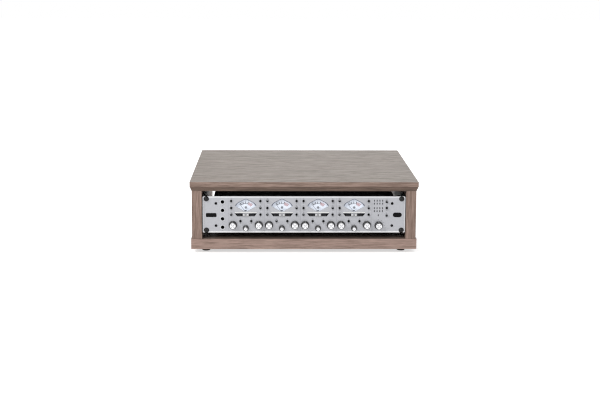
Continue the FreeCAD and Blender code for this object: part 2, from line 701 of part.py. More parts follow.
# ------------------------------------------------------------------- chassis
def chassis_tray():
    left, right = -TRAY_HALF, TRAY_HALF
    outer = box(left, right, PANEL_BACK, CHASSIS_BACK, CHASSIS_LOW, TRAY_HIGH)
    inner = box(left + TRAY_SHEET, right - TRAY_SHEET, PANEL_BACK - 1, CHASSIS_BACK - TRAY_SHEET,
                FLOOR, TRAY_HIGH + 1)
    tray = outer.cut(inner)
    for side in (-1, 1):
        inside = side * (TRAY_HALF - TRAY_SHEET)
        edge = side * (TRAY_HALF - TRAY_FRONT_FLANGE)
        tray = tray.fuse(box(min(inside, edge), max(inside, edge), PANEL_BACK,
                             PANEL_BACK + TRAY_SHEET, FLOOR, TRAY_HIGH))
    holes = [rod_y(x, PANEL_MID + z, PANEL_SCREW_R + SCREW_CLEARANCE / 2,
                   PANEL_BACK - 1, PANEL_BACK + TRAY_SHEET + 1)
             for x in (-PANEL_SCREW_X, PANEL_SCREW_X) for z in (-PANEL_SCREW_Z, PANEL_SCREW_Z)]
    for x0, x1, y, z in cover_screw_rods():
        holes.append(rod_x(y, z, COVER_SCREW_R + SCREW_CLEARANCE / 2, x0, x1))
    rear0, rear1 = CHASSIS_BACK - TRAY_SHEET - 1, CHASSIS_BACK + 1
    for x in XLR_X:
        holes.append(rod_y(x, PANEL_MID, XLR_BODY_R + HOLE_PLAY, rear0, rear1))
    for x in DSUB_X:
        holes.append(dsub_outline(x, HOLE_PLAY, rear0, rear1))
    half_x = INLET_BODY_WIDTH / 2 + HOLE_PLAY
    half_z = INLET_BODY_HEIGHT / 2 + HOLE_PLAY
    holes.append(box(INLET_X - half_x, INLET_X + half_x, rear0, rear1,
                     PANEL_MID - half_z, PANEL_MID + half_z))
    return tray.removeSplitter().cut(holes)


def cover_screw_rods():
    """(x0, x1, y, z) of each screw through the cover's side flanges."""
    rods = []
    step = CHASSIS_DEPTH / (COVER_SCREW_COUNT + 1)
    z = CHASSIS_HIGH - COVER_FLANGE / 2
    for index in range(COVER_SCREW_COUNT):
        y = PANEL_BACK + step * (index + 1)
        rods.append((CHASSIS_HALF - COVER_SCREW_LENGTH, CHASSIS_HALF, y, z))
        rods.append((-CHASSIS_HALF, -CHASSIS_HALF + COVER_SCREW_LENGTH, y, z))
    return rods


def chassis_cover():
    cover = box(-CHASSIS_HALF, CHASSIS_HALF, PANEL_BACK, CHASSIS_BACK,
                CHASSIS_HIGH - COVER_FLANGE, CHASSIS_HIGH)
    cover = cover.cut(box(-TRAY_HALF, TRAY_HALF, PANEL_BACK - 1, CHASSIS_BACK + 1,
                          CHASSIS_HIGH - COVER_FLANGE - 1, TRAY_HIGH))
    holes = [rod_x(y, z, COVER_SCREW_R + SCREW_CLEARANCE, x0 - 1, x1 + 1)
             for x0, x1, y, z in cover_screw_rods()]
    for index in range(VENT_COUNT):
        x = TOROID_X + VENT_PITCH * (index - (VENT_COUNT - 1) / 2)
        holes.append(box(x - VENT_WIDTH / 2, x + VENT_WIDTH / 2,
                         TOROID_Y - VENT_LENGTH / 2, TOROID_Y + VENT_LENGTH / 2,
                         TRAY_HIGH - 1, CHASSIS_HIGH + 1))
    return cover.cut(holes)


def chassis_screws():
    screws = []
    for x in (-PANEL_SCREW_X, PANEL_SCREW_X):
        for z in (-PANEL_SCREW_Z, PANEL_SCREW_Z):
            front = -PANEL_HEAD_HEIGHT
            profile = [(0, front), (PANEL_HEAD_R * 0.6, front), (PANEL_HEAD_R, front * 0.3),
                       (PANEL_HEAD_R, 0), (PANEL_SCREW_R, 0), (PANEL_SCREW_R, PANEL_SCREW_LENGTH),
                       (0, PANEL_SCREW_LENGTH)]
            screws.append(spun(profile, x, PANEL_MID + z))
    for x0, x1, y, z in cover_screw_rods():
        if x1 > 0:
            head = rod_x(y, z, COVER_HEAD_R, x1, x1 + COVER_HEAD_HEIGHT)
        else:
            head = rod_x(y, z, COVER_HEAD_R, x0 - COVER_HEAD_HEIGHT, x0)
        screws.append(rod_x(y, z, COVER_SCREW_R, x0, x1).fuse(head))
    return screws


# ----------------------------------------------------------- toggle switches
def toggle_switch(x, z):
    """Body behind the panel, threaded bushing through it and the dress nut."""
    z += PANEL_MID
    body = box(x - TOGGLE_BODY_X / 2, x + TOGGLE_BODY_X / 2, PANEL_BACK, PANEL_BACK + TOGGLE_BODY_Y,
               z - TOGGLE_BODY_Z / 2, z + TOGGLE_BODY_Z / 2)
    bore_end = -LEVER_PIVOT + BUSHING_DEPTH
    bushing = faceted([(0, bore_end), (BUSHING_BORE_R, bore_end), (BUSHING_BORE_R, -BUSHING_REACH),
                       (BUSHING_R, -BUSHING_REACH), (BUSHING_R, PANEL_BACK + 1),
                       (0, PANEL_BACK + 1)], BUSHING_SIDES)
    nut = faceted([(BUSHING_R - 0.1, -NUT_THICK), (NUT_R, -NUT_THICK), (NUT_R, 0),
                   (BUSHING_R - 0.1, 0), (BUSHING_R - 0.1, -NUT_THICK)], NUT_SIDES)
    bushing.translate(Vector(x, 0, z))
    nut.translate(Vector(x, 0, z))
    return bushing.fuse([nut, body]).removeSplitter()


def toggle_lever(x, z, is_up):
    """Bat lever: a ball in the bushing, a slim neck and a thicker round tip."""
    ball = LEVER_BALL_R
    half_ball = ball * math.sin(math.radians(30))
    flat_ball = ball * math.cos(math.radians(30))
    tip = LEVER_TIP_R
    lever = faceted([(0, ball), (half_ball, flat_ball), (flat_ball, half_ball),
                     (flat_ball, -half_ball), (LEVER_NECK_R, -ball), (tip, -LEVER_LENGTH),
                     (tip * 0.9, -LEVER_LENGTH - tip * 0.5), (0, -LEVER_LENGTH - tip)], LEVER_SIDES)
    pin_half = BUSHING_BORE_R * math.cos(math.pi / BUSHING_SIDES) - PIVOT_PIN_PLAY
    lever = lever.fuse(rod_x(0, 0, PIVOT_PIN_R, -pin_half, pin_half))
    tilt = -LEVER_TILT if is_up else LEVER_TILT
    lever.rotate(Vector(0, 0, 0), Vector(1, 0, 0), tilt)
    lever.translate(Vector(x, -LEVER_PIVOT, PANEL_MID + z))
    return lever


# --------------------------------------------------------------------- knobs
def knob(x, z, large):
    """Black moulded body, bright turned cap and the shaft that it sits on."""
    z += PANEL_MID
    skirt = LARGE_SKIRT_R if large else SMALL_SKIRT_R
    cap_r = LARGE_CAP_R if large else SMALL_CAP_R
    length = LARGE_KNOB_LENGTH if large else SMALL_KNOB_LENGTH
    back = -KNOB_GAP
    front = back - length
    nut_room_r = POT_NUT_FLATS / math.sqrt(3) + NUT_ROOM
    nut_room_y = -POT_BUSHING_REACH - NUT_ROOM
    shaft_r = SHAFT_R + CAP_PLAY
    seat = front + CAP_DEPTH
    socket_end = seat + 2 * CAP_DEPTH
    body = spun([(skirt, back), (skirt, back - SKIRT_HEIGHT), (skirt - 0.8, back - SKIRT_HEIGHT - 0.4),
                 (cap_r + CAP_RIM, front + 0.5), (cap_r + CAP_RIM - 0.5, front),
                 (cap_r, front), (cap_r, seat), (0, seat), (0, socket_end), (shaft_r, socket_end),
                 (shaft_r, nut_room_y), (nut_room_r, nut_room_y), (nut_room_r, back)], x, z)
    slot = box(x - POINTER_WIDTH / 2, x + POINTER_WIDTH / 2, back - SKIRT_HEIGHT - 0.41,
               back - SKIRT_HEIGHT + POINTER_DEPTH, z + cap_r + CAP_RIM + 0.6, z + skirt + 1)
    inner = cap_r - CAP_PLAY
    cap = spun([(0, seat), (inner, seat), (inner, front), (inner * 0.6, front - CAP_CROWN),
                (0, front - CAP_CROWN)], x, z)
    shaft = rod_y(x, z, SHAFT_R, socket_end, PANEL_BACK + POT_BODY_DEPTH / 2)
    return [body.cut(slot), cap, shaft]


def potentiometer(x, z):
    z += PANEL_MID
    end = PANEL_BACK + POT_BODY_DEPTH
    body = rod_y(x, z, POT_BODY_R, PANEL_BACK, end)
    bushing = rod_y(x, z, POT_BUSHING_R, -POT_BUSHING_REACH, PANEL_BACK)
    corner = POT_NUT_FLATS / math.sqrt(3)
    hexagon = [(x + corner * math.cos(math.radians(60 * k)), z + corner * math.sin(math.radians(60 * k)))
               for k in range(6)]
    nut = plate_xz(hexagon, -POT_NUT_THICK, 0)
    bore = rod_y(x, z, SHAFT_R + SHAFT_PLAY, -POT_BUSHING_REACH - 1,
                 PANEL_BACK + POT_BODY_DEPTH / 2 + SHAFT_PLAY)
    return body.fuse([bushing, nut]).removeSplitter().cut(bore)


# -------------------------------------------------------------------- meters
def meter_housing(x):
    """Open-fronted box clamped to the back of the panel around one window."""
    left, right = x - METER_BOX_HALF_WIDTH, x + METER_BOX_HALF_WIDTH
    low, high = PANEL_MID + METER_BOX_LOW_Z, PANEL_MID + METER_BOX_TOP_Z
    outer = box(left, right, PANEL_BACK, PANEL_BACK + METER_DEPTH, low, high)
    dial_back = DIAL_DEPTH + DIAL_THICK
    inner = box(left + METER_WALL, right - METER_WALL, PANEL_BACK - 1, dial_back,
                low + METER_WALL, high - METER_WALL)
    return outer.cut(inner)


def meter_dial(x):
    """Dial plate at the back of the housing, with the needle's pivot pin."""
    wall = METER_WALL + LENS_PLAY
    plate = box(x - METER_BOX_HALF_WIDTH + wall, x + METER_BOX_HALF_WIDTH - wall,
                DIAL_DEPTH, DIAL_DEPTH + DIAL_THICK,
                PANEL_MID + METER_BOX_LOW_Z + wall, PANEL_MID + METER_BOX_TOP_Z - wall)
    pin_front = DIAL_DEPTH - NEEDLE_GAP - NEEDLE_HUB_THICK
    pin = rod_y(x, PANEL_MID + NEEDLE_PIVOT_Z, NEEDLE_PIN_R, pin_front, DIAL_DEPTH)
    return plate.fuse(pin)


def meter_lens(x):
    return meter_window(x, LENS_PLAY, PANEL_BACK - LENS_THICK - 1.0, PANEL_BACK)


def meter_needle(x):
    hub_back = DIAL_DEPTH - NEEDLE_GAP
    hub_front = hub_back - NEEDLE_HUB_THICK
    hub = rod_y(0, 0, NEEDLE_HUB_R, hub_front, hub_back)
    tip, tail = NEEDLE_WIDTH / 4, NEEDLE_WIDTH / 2
    blade = plate_xz([(-tail, -NEEDLE_HUB_R - NEEDLE_TAIL), (tail, -NEEDLE_HUB_R - NEEDLE_TAIL),
                      (tail, 0), (tip, NEEDLE_LENGTH), (-tip, NEEDLE_LENGTH), (-tail, 0)],
                     hub_front, hub_front + NEEDLE_THICK)
    bore = rod_y(0, 0, NEEDLE_PIN_R + NEEDLE_PIN_PLAY, hub_front - 1, hub_back + 1)
    needle = hub.fuse(blade).removeSplitter().cut(bore)
    needle.rotate(Vector(0, 0, 0), Vector(0, 1, 0), -NEEDLE_REST)
    needle.translate(Vector(x, 0, PANEL_MID + NEEDLE_PIVOT_Z))
    return needle


# ---------------------------------------------- jacks, lamps and label plates
def instrument_jack(z):
    z += PANEL_MID
    half = JACK_BODY / 2
    body = box(JACK_X - half, JACK_X + half, PANEL_BACK, PANEL_BACK + JACK_BODY_DEPTH,
               z - half, z + half)
    bushing = rod_y(JACK_X, z, JACK_BUSHING_R, -JACK_RING_THICK, PANEL_BACK)
    ring = rod_y(JACK_X, z, JACK_RING_R, -JACK_RING_THICK, 0)
    mouth = spun([(0, -JACK_RING_THICK), (JACK_MOUTH_R, -JACK_RING_THICK),
                  (JACK_BORE_R, -JACK_RING_THICK + JACK_MOUTH_DEPTH),
                  (JACK_BORE_R, -JACK_RING_THICK + JACK_BORE_DEPTH),
                  (0, -JACK_RING_THICK + JACK_BORE_DEPTH)], JACK_X, z)
    return body.fuse([bushing, ring]).removeSplitter().cut(mouth)


def lamp(x, z):
    z += PANEL_MID
    return box(x - LAMP_WIDTH / 2, x + LAMP_WIDTH / 2, -LAMP_PROUD, LAMP_LENGTH - LAMP_PROUD,
               z - LAMP_HEIGHT / 2, z + LAMP_HEIGHT / 2)


def channel_plates(x):
    """Black label plate in two wings, the number plate between them, a bright strip."""
    wings = []
    for side in (-1, 1):
        outline = [(x + side * NUMBER_HALF, PLATE_TOP_Z), (x + side * PLATE_TOP_HALF, PLATE_TOP_Z),
                   (x + side * PLATE_LOW_HALF, PLATE_LOW_Z), (x + side * NUMBER_HALF, PLATE_LOW_Z)]
        wings.append(plate_xz([(px, PANEL_MID + pz) for px, pz in outline], -PLATE_THICK, 0))
    number = round_plate(NUMBER_HALF, NUMBER_HEIGHT / 2, BADGE_CORNER, x, PANEL_MID + NUMBER_Z,
                         -NUMBER_THICK, 0)
    strip = box(x - PLATE_TOP_HALF, x + PLATE_TOP_HALF, -PLATE_THICK, 0,
                PANEL_MID + STRIP_Z - STRIP_HEIGHT / 2, PANEL_MID + STRIP_Z + STRIP_HEIGHT / 2)
    return wings + [number, strip]


def blank_plates():
    left = round_plate(BADGE_WIDTH / 2, BADGE_HEIGHT / 2, BADGE_CORNER, BADGE_X,
                       PANEL_MID + BADGE_Z, -PLATE_THICK, 0)
    right = round_plate(EMBLEM_WIDTH / 2, EMBLEM_HEIGHT / 2, EMBLEM_HEIGHT * 0.49, EMBLEM_X,
                        PANEL_MID + EMBLEM_Z, -PLATE_THICK, 0)
    return [left, right]


# ------------------------------------------------------- inside of the chassis
def circuit_board():
    """Main board on its standoffs, with the audio transformers and capacitors."""
    low = FLOOR + STANDOFF_HEIGHT
    high = low + BOARD_THICK
    pieces = [box(BOARD_LEFT, BOARD_RIGHT, BOARD_FRONT, BOARD_REAR, low, high)]
    for x in (BOARD_LEFT + STANDOFF_INSET, BOARD_RIGHT - STANDOFF_INSET):
        for y in (BOARD_FRONT + STANDOFF_INSET, BOARD_REAR - STANDOFF_INSET):
            pieces.append(rod_z(x, y, STANDOFF_R, FLOOR, low))
    span = (BOARD_RIGHT - BOARD_LEFT) / CHANNEL_COUNT
    for index in range(CHANNEL_COUNT):
        x = BOARD_LEFT + span * (index + 0.5)
        pieces.append(box(x - CAN_WIDTH / 2, x + CAN_WIDTH / 2, CAN_Y - CAN_DEPTH / 2,
                          CAN_Y + CAN_DEPTH / 2, high, high + CAN_HEIGHT))
    for index in range(CAPACITOR_COUNT):
        y = BOARD_REAR - CAPACITOR_INSET_Y - CAPACITOR_PITCH * index
        pieces.append(rod_z(CAPACITOR_X, y, CAPACITOR_R, high, high + CAPACITOR_HEIGHT))
    return pieces


def power_transformer():
    """Toroid on the chassis floor, clamped by a dish washer and one bolt."""
    ring = rod_z(TOROID_X, TOROID_Y, TOROID_R, FLOOR, FLOOR + TOROID_HEIGHT)
    rims = [e for e in ring.Edges if e.Closed and abs(e.BoundBox.ZMax - e.BoundBox.ZMin) < 1e-3]
    ring = ring.makeFillet(TOROID_ROUND, rims)
    ring = ring.cut(rod_z(TOROID_X, TOROID_Y, TOROID_HOLE_R, FLOOR - 1, FLOOR + TOROID_HEIGHT + 1))
    dish_low = FLOOR + TOROID_HEIGHT
    dish_high = dish_low + TOROID_DISH_THICK
    dish = rod_z(TOROID_X, TOROID_Y, TOROID_DISH_R, dish_low, dish_high)
    dish = dish.cut(rod_z(TOROID_X, TOROID_Y, TOROID_BOLT_R + SCREW_CLEARANCE, dish_low - 1,
                          dish_high + 1))
    bolt = rod_z(TOROID_X, TOROID_Y, TOROID_BOLT_R, FLOOR, dish_high)
    head = rod_z(TOROID_X, TOROID_Y, TOROID_NUT_R, dish_high, dish_high + TOROID_NUT_HEIGHT)
    return [ring, dish, bolt.fuse(head)]


# ---------------------------------------------------------- rear connectors
def xlr_socket(x):
    z = PANEL_MID
    wall = CHASSIS_BACK
    face = wall + XLR_FLANGE + XLR_REACH
    flange = box(x - XLR_WIDTH / 2, x + XLR_WIDTH / 2, wall, wall + XLR_FLANGE,
                 z - XLR_HEIGHT / 2, z + XLR_HEIGHT / 2)
    barrel = rod_y(x, z, XLR_BODY_R, wall - XLR_BODY_DEPTH, face)
    groove = rod_y(x, z, XLR_INSERT_R + XLR_GROOVE, face - XLR_GROOVE_DEPTH, face + 1)
    groove = groove.cut(rod_y(x, z, XLR_INSERT_R, face - XLR_GROOVE_DEPTH - 1, face + 2))
    contacts = []
    for angle in (210, 330, 90):
        px = x + XLR_PIN_CIRCLE * math.cos(math.radians(angle))
        pz = z + XLR_PIN_CIRCLE * math.sin(math.radians(angle))
        contacts.append(rod_y(px, pz, XLR_PIN_R, face - XLR_PIN_DEPTH, face + 1))
    return flange.fuse(barrel).removeSplitter().cut([groove] + contacts)


def dsub_outline(x, play, y0, y1):
    half_height = DSUB_SHELL_HEIGHT / 2 + play
    top, low = DSUB_SHELL_TOP + play, DSUB_SHELL_LOW + play
    return plate_xz([(x - top, PANEL_MID + half_height), (x + top, PANEL_MID + half_height),
                     (x + low, PANEL_MID - half_height), (x - low, PANEL_MID - half_height)], y0, y1)


def dsub_socket(x):
    """Multi-pin line connector: flange on the rear wall and a D-shaped shell."""
    wall = CHASSIS_BACK
    flange = round_plate(DSUB_FLANGE_WIDTH / 2, DSUB_FLANGE_HEIGHT / 2, 1.0, x, PANEL_MID,
                         wall, wall + DSUB_FLANGE_THICK)
    shell = dsub_outline(x, 0, wall - DSUB_BODY_DEPTH, wall + DSUB_REACH)
    return flange.fuse(shell).removeSplitter()


def power_inlet():
    """Mains inlet: flange, recess and three blades."""
    wall = CHASSIS_BACK
    face = wall + INLET_FLANGE
    flange = round_plate(INLET_WIDTH / 2, INLET_HEIGHT / 2, INLET_CORNER, INLET_X, PANEL_MID,
                         wall, face)
    body = box(INLET_X - INLET_BODY_WIDTH / 2, INLET_X + INLET_BODY_WIDTH / 2,
               face - INLET_BODY_DEPTH, wall,
               PANEL_MID - INLET_BODY_HEIGHT / 2, PANEL_MID + INLET_BODY_HEIGHT / 2)
    floor = face - INLET_MOUTH_DEPTH
    mouth = box(INLET_X - INLET_MOUTH_WIDTH / 2, INLET_X + INLET_MOUTH_WIDTH / 2, floor, face + 1,
                PANEL_MID - INLET_MOUTH_HEIGHT / 2, PANEL_MID + INLET_MOUTH_HEIGHT / 2)
    blades = []
    for step in (-1, 0, 1):
        x = INLET_X + step * INLET_BLADE_PITCH
        z = PANEL_MID + (INLET_BLADE_DROP if step == 0 else -INLET_BLADE_DROP)
        blades.append(box(x - INLET_BLADE_THICK / 2, x + INLET_BLADE_THICK / 2, floor - 1,
                          floor + INLET_BLADE_LENGTH,
                          z - INLET_BLADE_HEIGHT / 2, z + INLET_BLADE_HEIGHT / 2))
    return flange.fuse(body).removeSplitter().cut(mouth).fuse(blades)


# ------------------------------------------------------------- all the nodes
# Levers with a node of their own; the others share the node toggle_levers.
OWN_LEVERS = ("left_top", "left_middle", "left_low", "centre_left")


def main():
    os.makedirs("parts", exist_ok=True)

    write_node("case_top_panel", [case_top()])
    write_node("case_bottom_panel", [case_bottom()])
    write_node("case_left_side", [case_side()])
    write_node("case_right_side", [mirrored(case_side())])
    write_node("case_feet", case_feet())
    write_node("case_dowels", dowels(0))

    write_node("rack_rails", [rack_rail(), mirrored(rack_rail())])
    write_node("rack_screws", rack_screws())
    write_node("front_panel", [front_panel()])
    write_node("chassis_tray", [chassis_tray()])
    write_node("chassis_cover", [chassis_cover()])
    screws = rail_screws()
    write_node("fixing_screws", screws + [mirrored(s) for s in screws] + chassis_screws())

    write_node("circuit_board", circuit_board())
    write_node("power_transformer", power_transformer())
    write_node("rear_connectors", [xlr_socket(x) for x in XLR_X]
               + [dsub_socket(x) for x in DSUB_X] + [power_inlet()])

    write_node("meter_housings", [meter_housing(x) for x in CHANNEL_X])
    write_node("meter_dials", [meter_dial(x) for x in CHANNEL_X])
    write_node("meter_lenses", [meter_lens(x) for x in CHANNEL_X])
    for number, x in enumerate(CHANNEL_X, 1):
        write_node("ch%d_needle" % number, [meter_needle(x)])

    write_node("instrument_jacks", [instrument_jack(z) for z in JACK_Z])
    write_node("indicator_lamps", [lamp(x, z) for x, z in lamp_spots()])
    plates = blank_plates()
    for x in CHANNEL_X:
        plates += channel_plates(x)
    write_node("label_plates", plates)

    write_node("potentiometers", [potentiometer(x, z) for name, x, z, large in knob_spots()])
    for name, x, z, large in knob_spots():
        write_node(name, knob(x, z, large))

    write_node("toggle_switches", [toggle_switch(x, z) for name, x, z, up in toggle_spots()])
    shared = []
    for name, x, z, is_up in toggle_spots():
        if name.startswith("master") or name.split("toggle_")[1] in OWN_LEVERS:
            write_node(name, [toggle_lever(x, z, is_up)])
        else:
            shared.append(toggle_lever(x, z, is_up))
    write_node("toggle_levers", shared)


main()
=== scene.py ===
"""Looks of the four-channel rack compressor in its wooden desktop case.

Everything is in metres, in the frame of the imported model: +X right along the
front panel, +Z up, the panel faces -Y and the feet stand on z = 0.
"""
import json
import math
import random

import bmesh
import bpy
from mathutils import Matrix, Vector

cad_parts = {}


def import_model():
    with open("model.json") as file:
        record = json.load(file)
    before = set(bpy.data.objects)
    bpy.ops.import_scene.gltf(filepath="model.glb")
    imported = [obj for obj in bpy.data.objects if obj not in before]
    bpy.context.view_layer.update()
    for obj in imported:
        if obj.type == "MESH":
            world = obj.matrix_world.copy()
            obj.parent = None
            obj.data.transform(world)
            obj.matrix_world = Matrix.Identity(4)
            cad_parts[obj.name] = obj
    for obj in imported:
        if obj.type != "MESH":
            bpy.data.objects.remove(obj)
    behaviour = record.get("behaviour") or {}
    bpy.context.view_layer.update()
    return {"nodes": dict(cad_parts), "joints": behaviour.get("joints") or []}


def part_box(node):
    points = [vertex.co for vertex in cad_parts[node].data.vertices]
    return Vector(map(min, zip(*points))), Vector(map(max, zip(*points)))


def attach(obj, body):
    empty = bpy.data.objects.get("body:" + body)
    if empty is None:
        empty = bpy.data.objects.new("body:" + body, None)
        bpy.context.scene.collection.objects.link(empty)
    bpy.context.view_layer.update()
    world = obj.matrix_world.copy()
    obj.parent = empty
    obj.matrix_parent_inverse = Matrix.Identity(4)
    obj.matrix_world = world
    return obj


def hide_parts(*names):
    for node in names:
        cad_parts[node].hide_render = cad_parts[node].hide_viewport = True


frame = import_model()

NODES = frame["nodes"]
JOINTS = {joint["child"]: joint for joint in frame["joints"]}
UNIT = "unit"
MM = 0.001

PANEL_LOW, PANEL_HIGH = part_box("front_panel")
PANEL_Y = PANEL_LOW.y
PANEL_Z = (PANEL_LOW.z + PANEL_HIGH.z) / 2
REAR_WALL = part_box("chassis_cover")[1].y
CHANNEL_X = [JOINTS["ch%d_needle" % n]["pos_m"][0] for n in range(1, 5)]
# Thickness of anything printed.
INK_LIFT = 0.04 * MM
FONT_SIZE_PER_HEIGHT = 1.35


# ---- materials
def linear(*rgb):
    """Linear colour of an 8-bit sRGB triple."""
    out = []
    for value in rgb:
        c = value / 255
        out.append(c / 12.92 if c <= 0.04045 else ((c + 0.055) / 1.055) ** 2.4)
    return (*out, 1.0)


def shade(colour, factor):
    """The colour made darker or lighter, with no channel above 1."""
    return (*(min(1.0, c * factor) for c in colour[:3]), 1.0)


def grey(level):
    return (level, level, level, 1)


MATS = {}


class Shader:
    """A node material with its Principled BSDF and short ways to add nodes.

    A source is a pair of a node and the name or number of its output. MATS
    holds every finished material by its name.
    """

    def __init__(self, name, colour, roughness, metallic=0.0, **sockets):
        MATS[name] = bpy.data.materials.new(name)
        MATS[name].use_nodes = True
        self.tree = MATS[name].node_tree
        self.bsdf = self.tree.nodes["Principled BSDF"]
        sockets.update(Base_Color=colour, Roughness=roughness, Metallic=metallic)
        for key, value in sockets.items():
            self.feed(self.bsdf, key.replace("_", " "), value)

    def feed(self, target, socket, value):
        """Links a source to a socket, or sets the socket to a plain value."""
        if isinstance(value, tuple) and len(value) == 2:
            source, output = value
            self.tree.links.new(source.outputs[output], target.inputs[socket])
        else:
            target.inputs[socket].default_value = value

    def node(self, kind, **settings):
        """A new node; each setting is a property of the node or else a socket."""
        made = self.tree.nodes.new("ShaderNode" + kind)
        for key, value in settings.items():
            if hasattr(made, key):
                setattr(made, key, value)
            else:
                self.feed(made, key.replace("_", " "), value)
        return made

    def math(self, operation, *values, kind="Math"):
        """A calculation; each value is a number, a vector or a source."""
        made = self.node(kind, operation=operation)
        for socket, value in enumerate(values):
            self.feed(made, socket, value)
        return made, 0

    def noise(self, scale, size, detail=4.0, roughness=0.6):
        """Noise in object coordinates, stretched by scale along X, Y and Z."""
        place = self.node("Mapping", Scale=scale, Vector=(self.node("TexCoord"), "Object"))
        made = self.node("TexNoise", Scale=size, Detail=detail, Roughness=roughness,
                         Vector=(place, "Vector"))
        return made, "Fac"

    def ramp(self, source, *stops):
        made = self.node("ValToRGB", Fac=source)
        elements = made.color_ramp.elements
        while len(elements) < len(stops):
            elements.new(0.5)
        for element, (place, colour) in zip(elements, stops):
            element.position = place
            element.color = colour
        return made, "Color"

    def mix(self, factor, first, second, blend="MIX"):
        mixer = self.node("Mix", data_type="RGBA", blend_type=blend)
        for socket, value in ((0, factor), (6, first), (7, second)):
            self.feed(mixer, socket, value)
        return mixer, 2

    def bump(self, source, strength, distance):
        made = self.node("Bump", Strength=strength, Distance=distance, Height=source)
        self.feed(self.bsdf, "Normal", (made, "Normal"))

    def roughness_from(self, source, low, high):
        spread = self.node("MapRange", To_Min=low, To_Max=high, Value=source)
        self.feed(self.bsdf, "Roughness", (spread, "Result"))

    def colour_from(self, source):
        self.feed(self.bsdf, "Base Color", source)


BRUSH_FINENESS = 2600.0


def wood_laminate(name, grain_axis, light, dark, stretch=0.05, gloss=0.3, fineness=300.0):
    """Taupe wood-grain laminate; a small stretch makes long grain along its axis."""
    light, dark = linear(*light), linear(*dark)
    shader = Shader(name, light, 0.55, Specular_IOR_Level=gloss)
    along = [1.0, 1.0, 1.0]
    along[grain_axis] = stretch
    figure = shader.noise(along, fineness, detail=4.0, roughness=0.66)
    streaks = shader.noise([c * 0.8 for c in along], fineness * 2, detail=4.0, roughness=0.72)
    broad = shader.noise([c * 0.35 for c in along], 60.0, detail=2.0)
    base = shader.ramp(figure, (0.37, dark), (0.61, light))
    pores = shader.ramp(streaks, (0.36, (0.62, 0.60, 0.58, 1)), (0.52, grey(1)))
    grained = shader.mix(0.9, base, pores, "MULTIPLY")
    clouds = shader.ramp(broad, (0.3, (0.95, 0.96, 0.95, 1)), (0.7, (1.04, 1.02, 1.02, 1)))
    shader.colour_from(shader.mix(1.0, grained, clouds, "MULTIPLY"))
    shader.roughness_from(streaks, 0.62, 0.48)
    shader.bump(streaks, 0.16, 0.0004)


def painted(name, rgb, roughness, grain=0.05, size=900.0, metallic=0.0, **sockets):
    """A sprayed or moulded surface with a fine, even texture."""
    colour = linear(*rgb)
    shader = Shader(name, colour, roughness, metallic, **sockets)
    noise = shader.noise((1, 1, 1), size, detail=3.0)
    shader.colour_from(shader.ramp(noise, (0.35, shade(colour, 0.88)), (0.65, shade(colour, 1.10))))
    shader.roughness_from(noise, roughness * 0.9, min(1.0, roughness * 1.12))
    shader.bump(noise, grain, 0.0001)


def brushed(name, rgb, roughness, metallic, stretch, strength=0.10, **sockets):
    """Metal with fine brushing; stretch is small along the brushing."""
    colour = linear(*rgb)
    shader = Shader(name, colour, roughness, metallic, **sockets)
    lines = shader.noise(stretch, BRUSH_FINENESS, detail=3.0, roughness=0.55)
    cloud = shader.noise((1, 1, 1), 9.0, detail=2.0)
    tone = shader.ramp(lines, (0.3, shade(colour, 0.93)), (0.7, shade(colour, 1.05)))
    patch = shader.ramp(cloud, (0.3, grey(0.97)), (0.7, grey(1.02)))
    shader.colour_from(shader.mix(1.0, tone, patch, "MULTIPLY"))
    shader.roughness_from(lines, roughness * 0.85, roughness * 1.15)
    shader.bump(lines, strength, 0.00005)


def panel_face(name, face, edge_highlight, edge_highlight_width):
    """Brushed panel with a lighter border along all four edges: a painted highlight of the bevelled
    edges.
    """
    face, edge_highlight = linear(*face), linear(*edge_highlight)
    shader = Shader(name, face, 0.42, 0.45)
    split = shader.node("SeparateXYZ", Vector=(shader.node("TexCoord"), "Object"))
    half_width = (PANEL_HIGH.x - PANEL_LOW.x) / 2
    half_height = (PANEL_HIGH.z - PANEL_LOW.z) / 2
    blur = 0.15 * MM
    highlight_bands = []
    for axis, middle, start in (("X", 0.0, half_width - edge_highlight_width / 2),
                                ("Z", PANEL_Z, half_height - edge_highlight_width)):
        offset = shader.math("SUBTRACT", (split, axis), middle)
        highlight_band = shader.node("MapRange", From_Min=start - blur, From_Max=start + blur,
                           Value=shader.math("ABSOLUTE", offset))
        highlight_bands.append((highlight_band, "Result"))
    flat = shader.mix(shader.math("MAXIMUM", *highlight_bands), face, edge_highlight)
    lines = shader.noise((0.02, 1, 1), BRUSH_FINENESS, detail=3.0, roughness=0.55)
    tone = shader.ramp(lines, (0.3, grey(0.94)), (0.7, grey(1.04)))
    shader.colour_from(shader.mix(1.0, flat, tone, "MULTIPLY"))
    shader.roughness_from(lines, 0.36, 0.48)
    shader.bump(lines, 0.10, 0.00005)


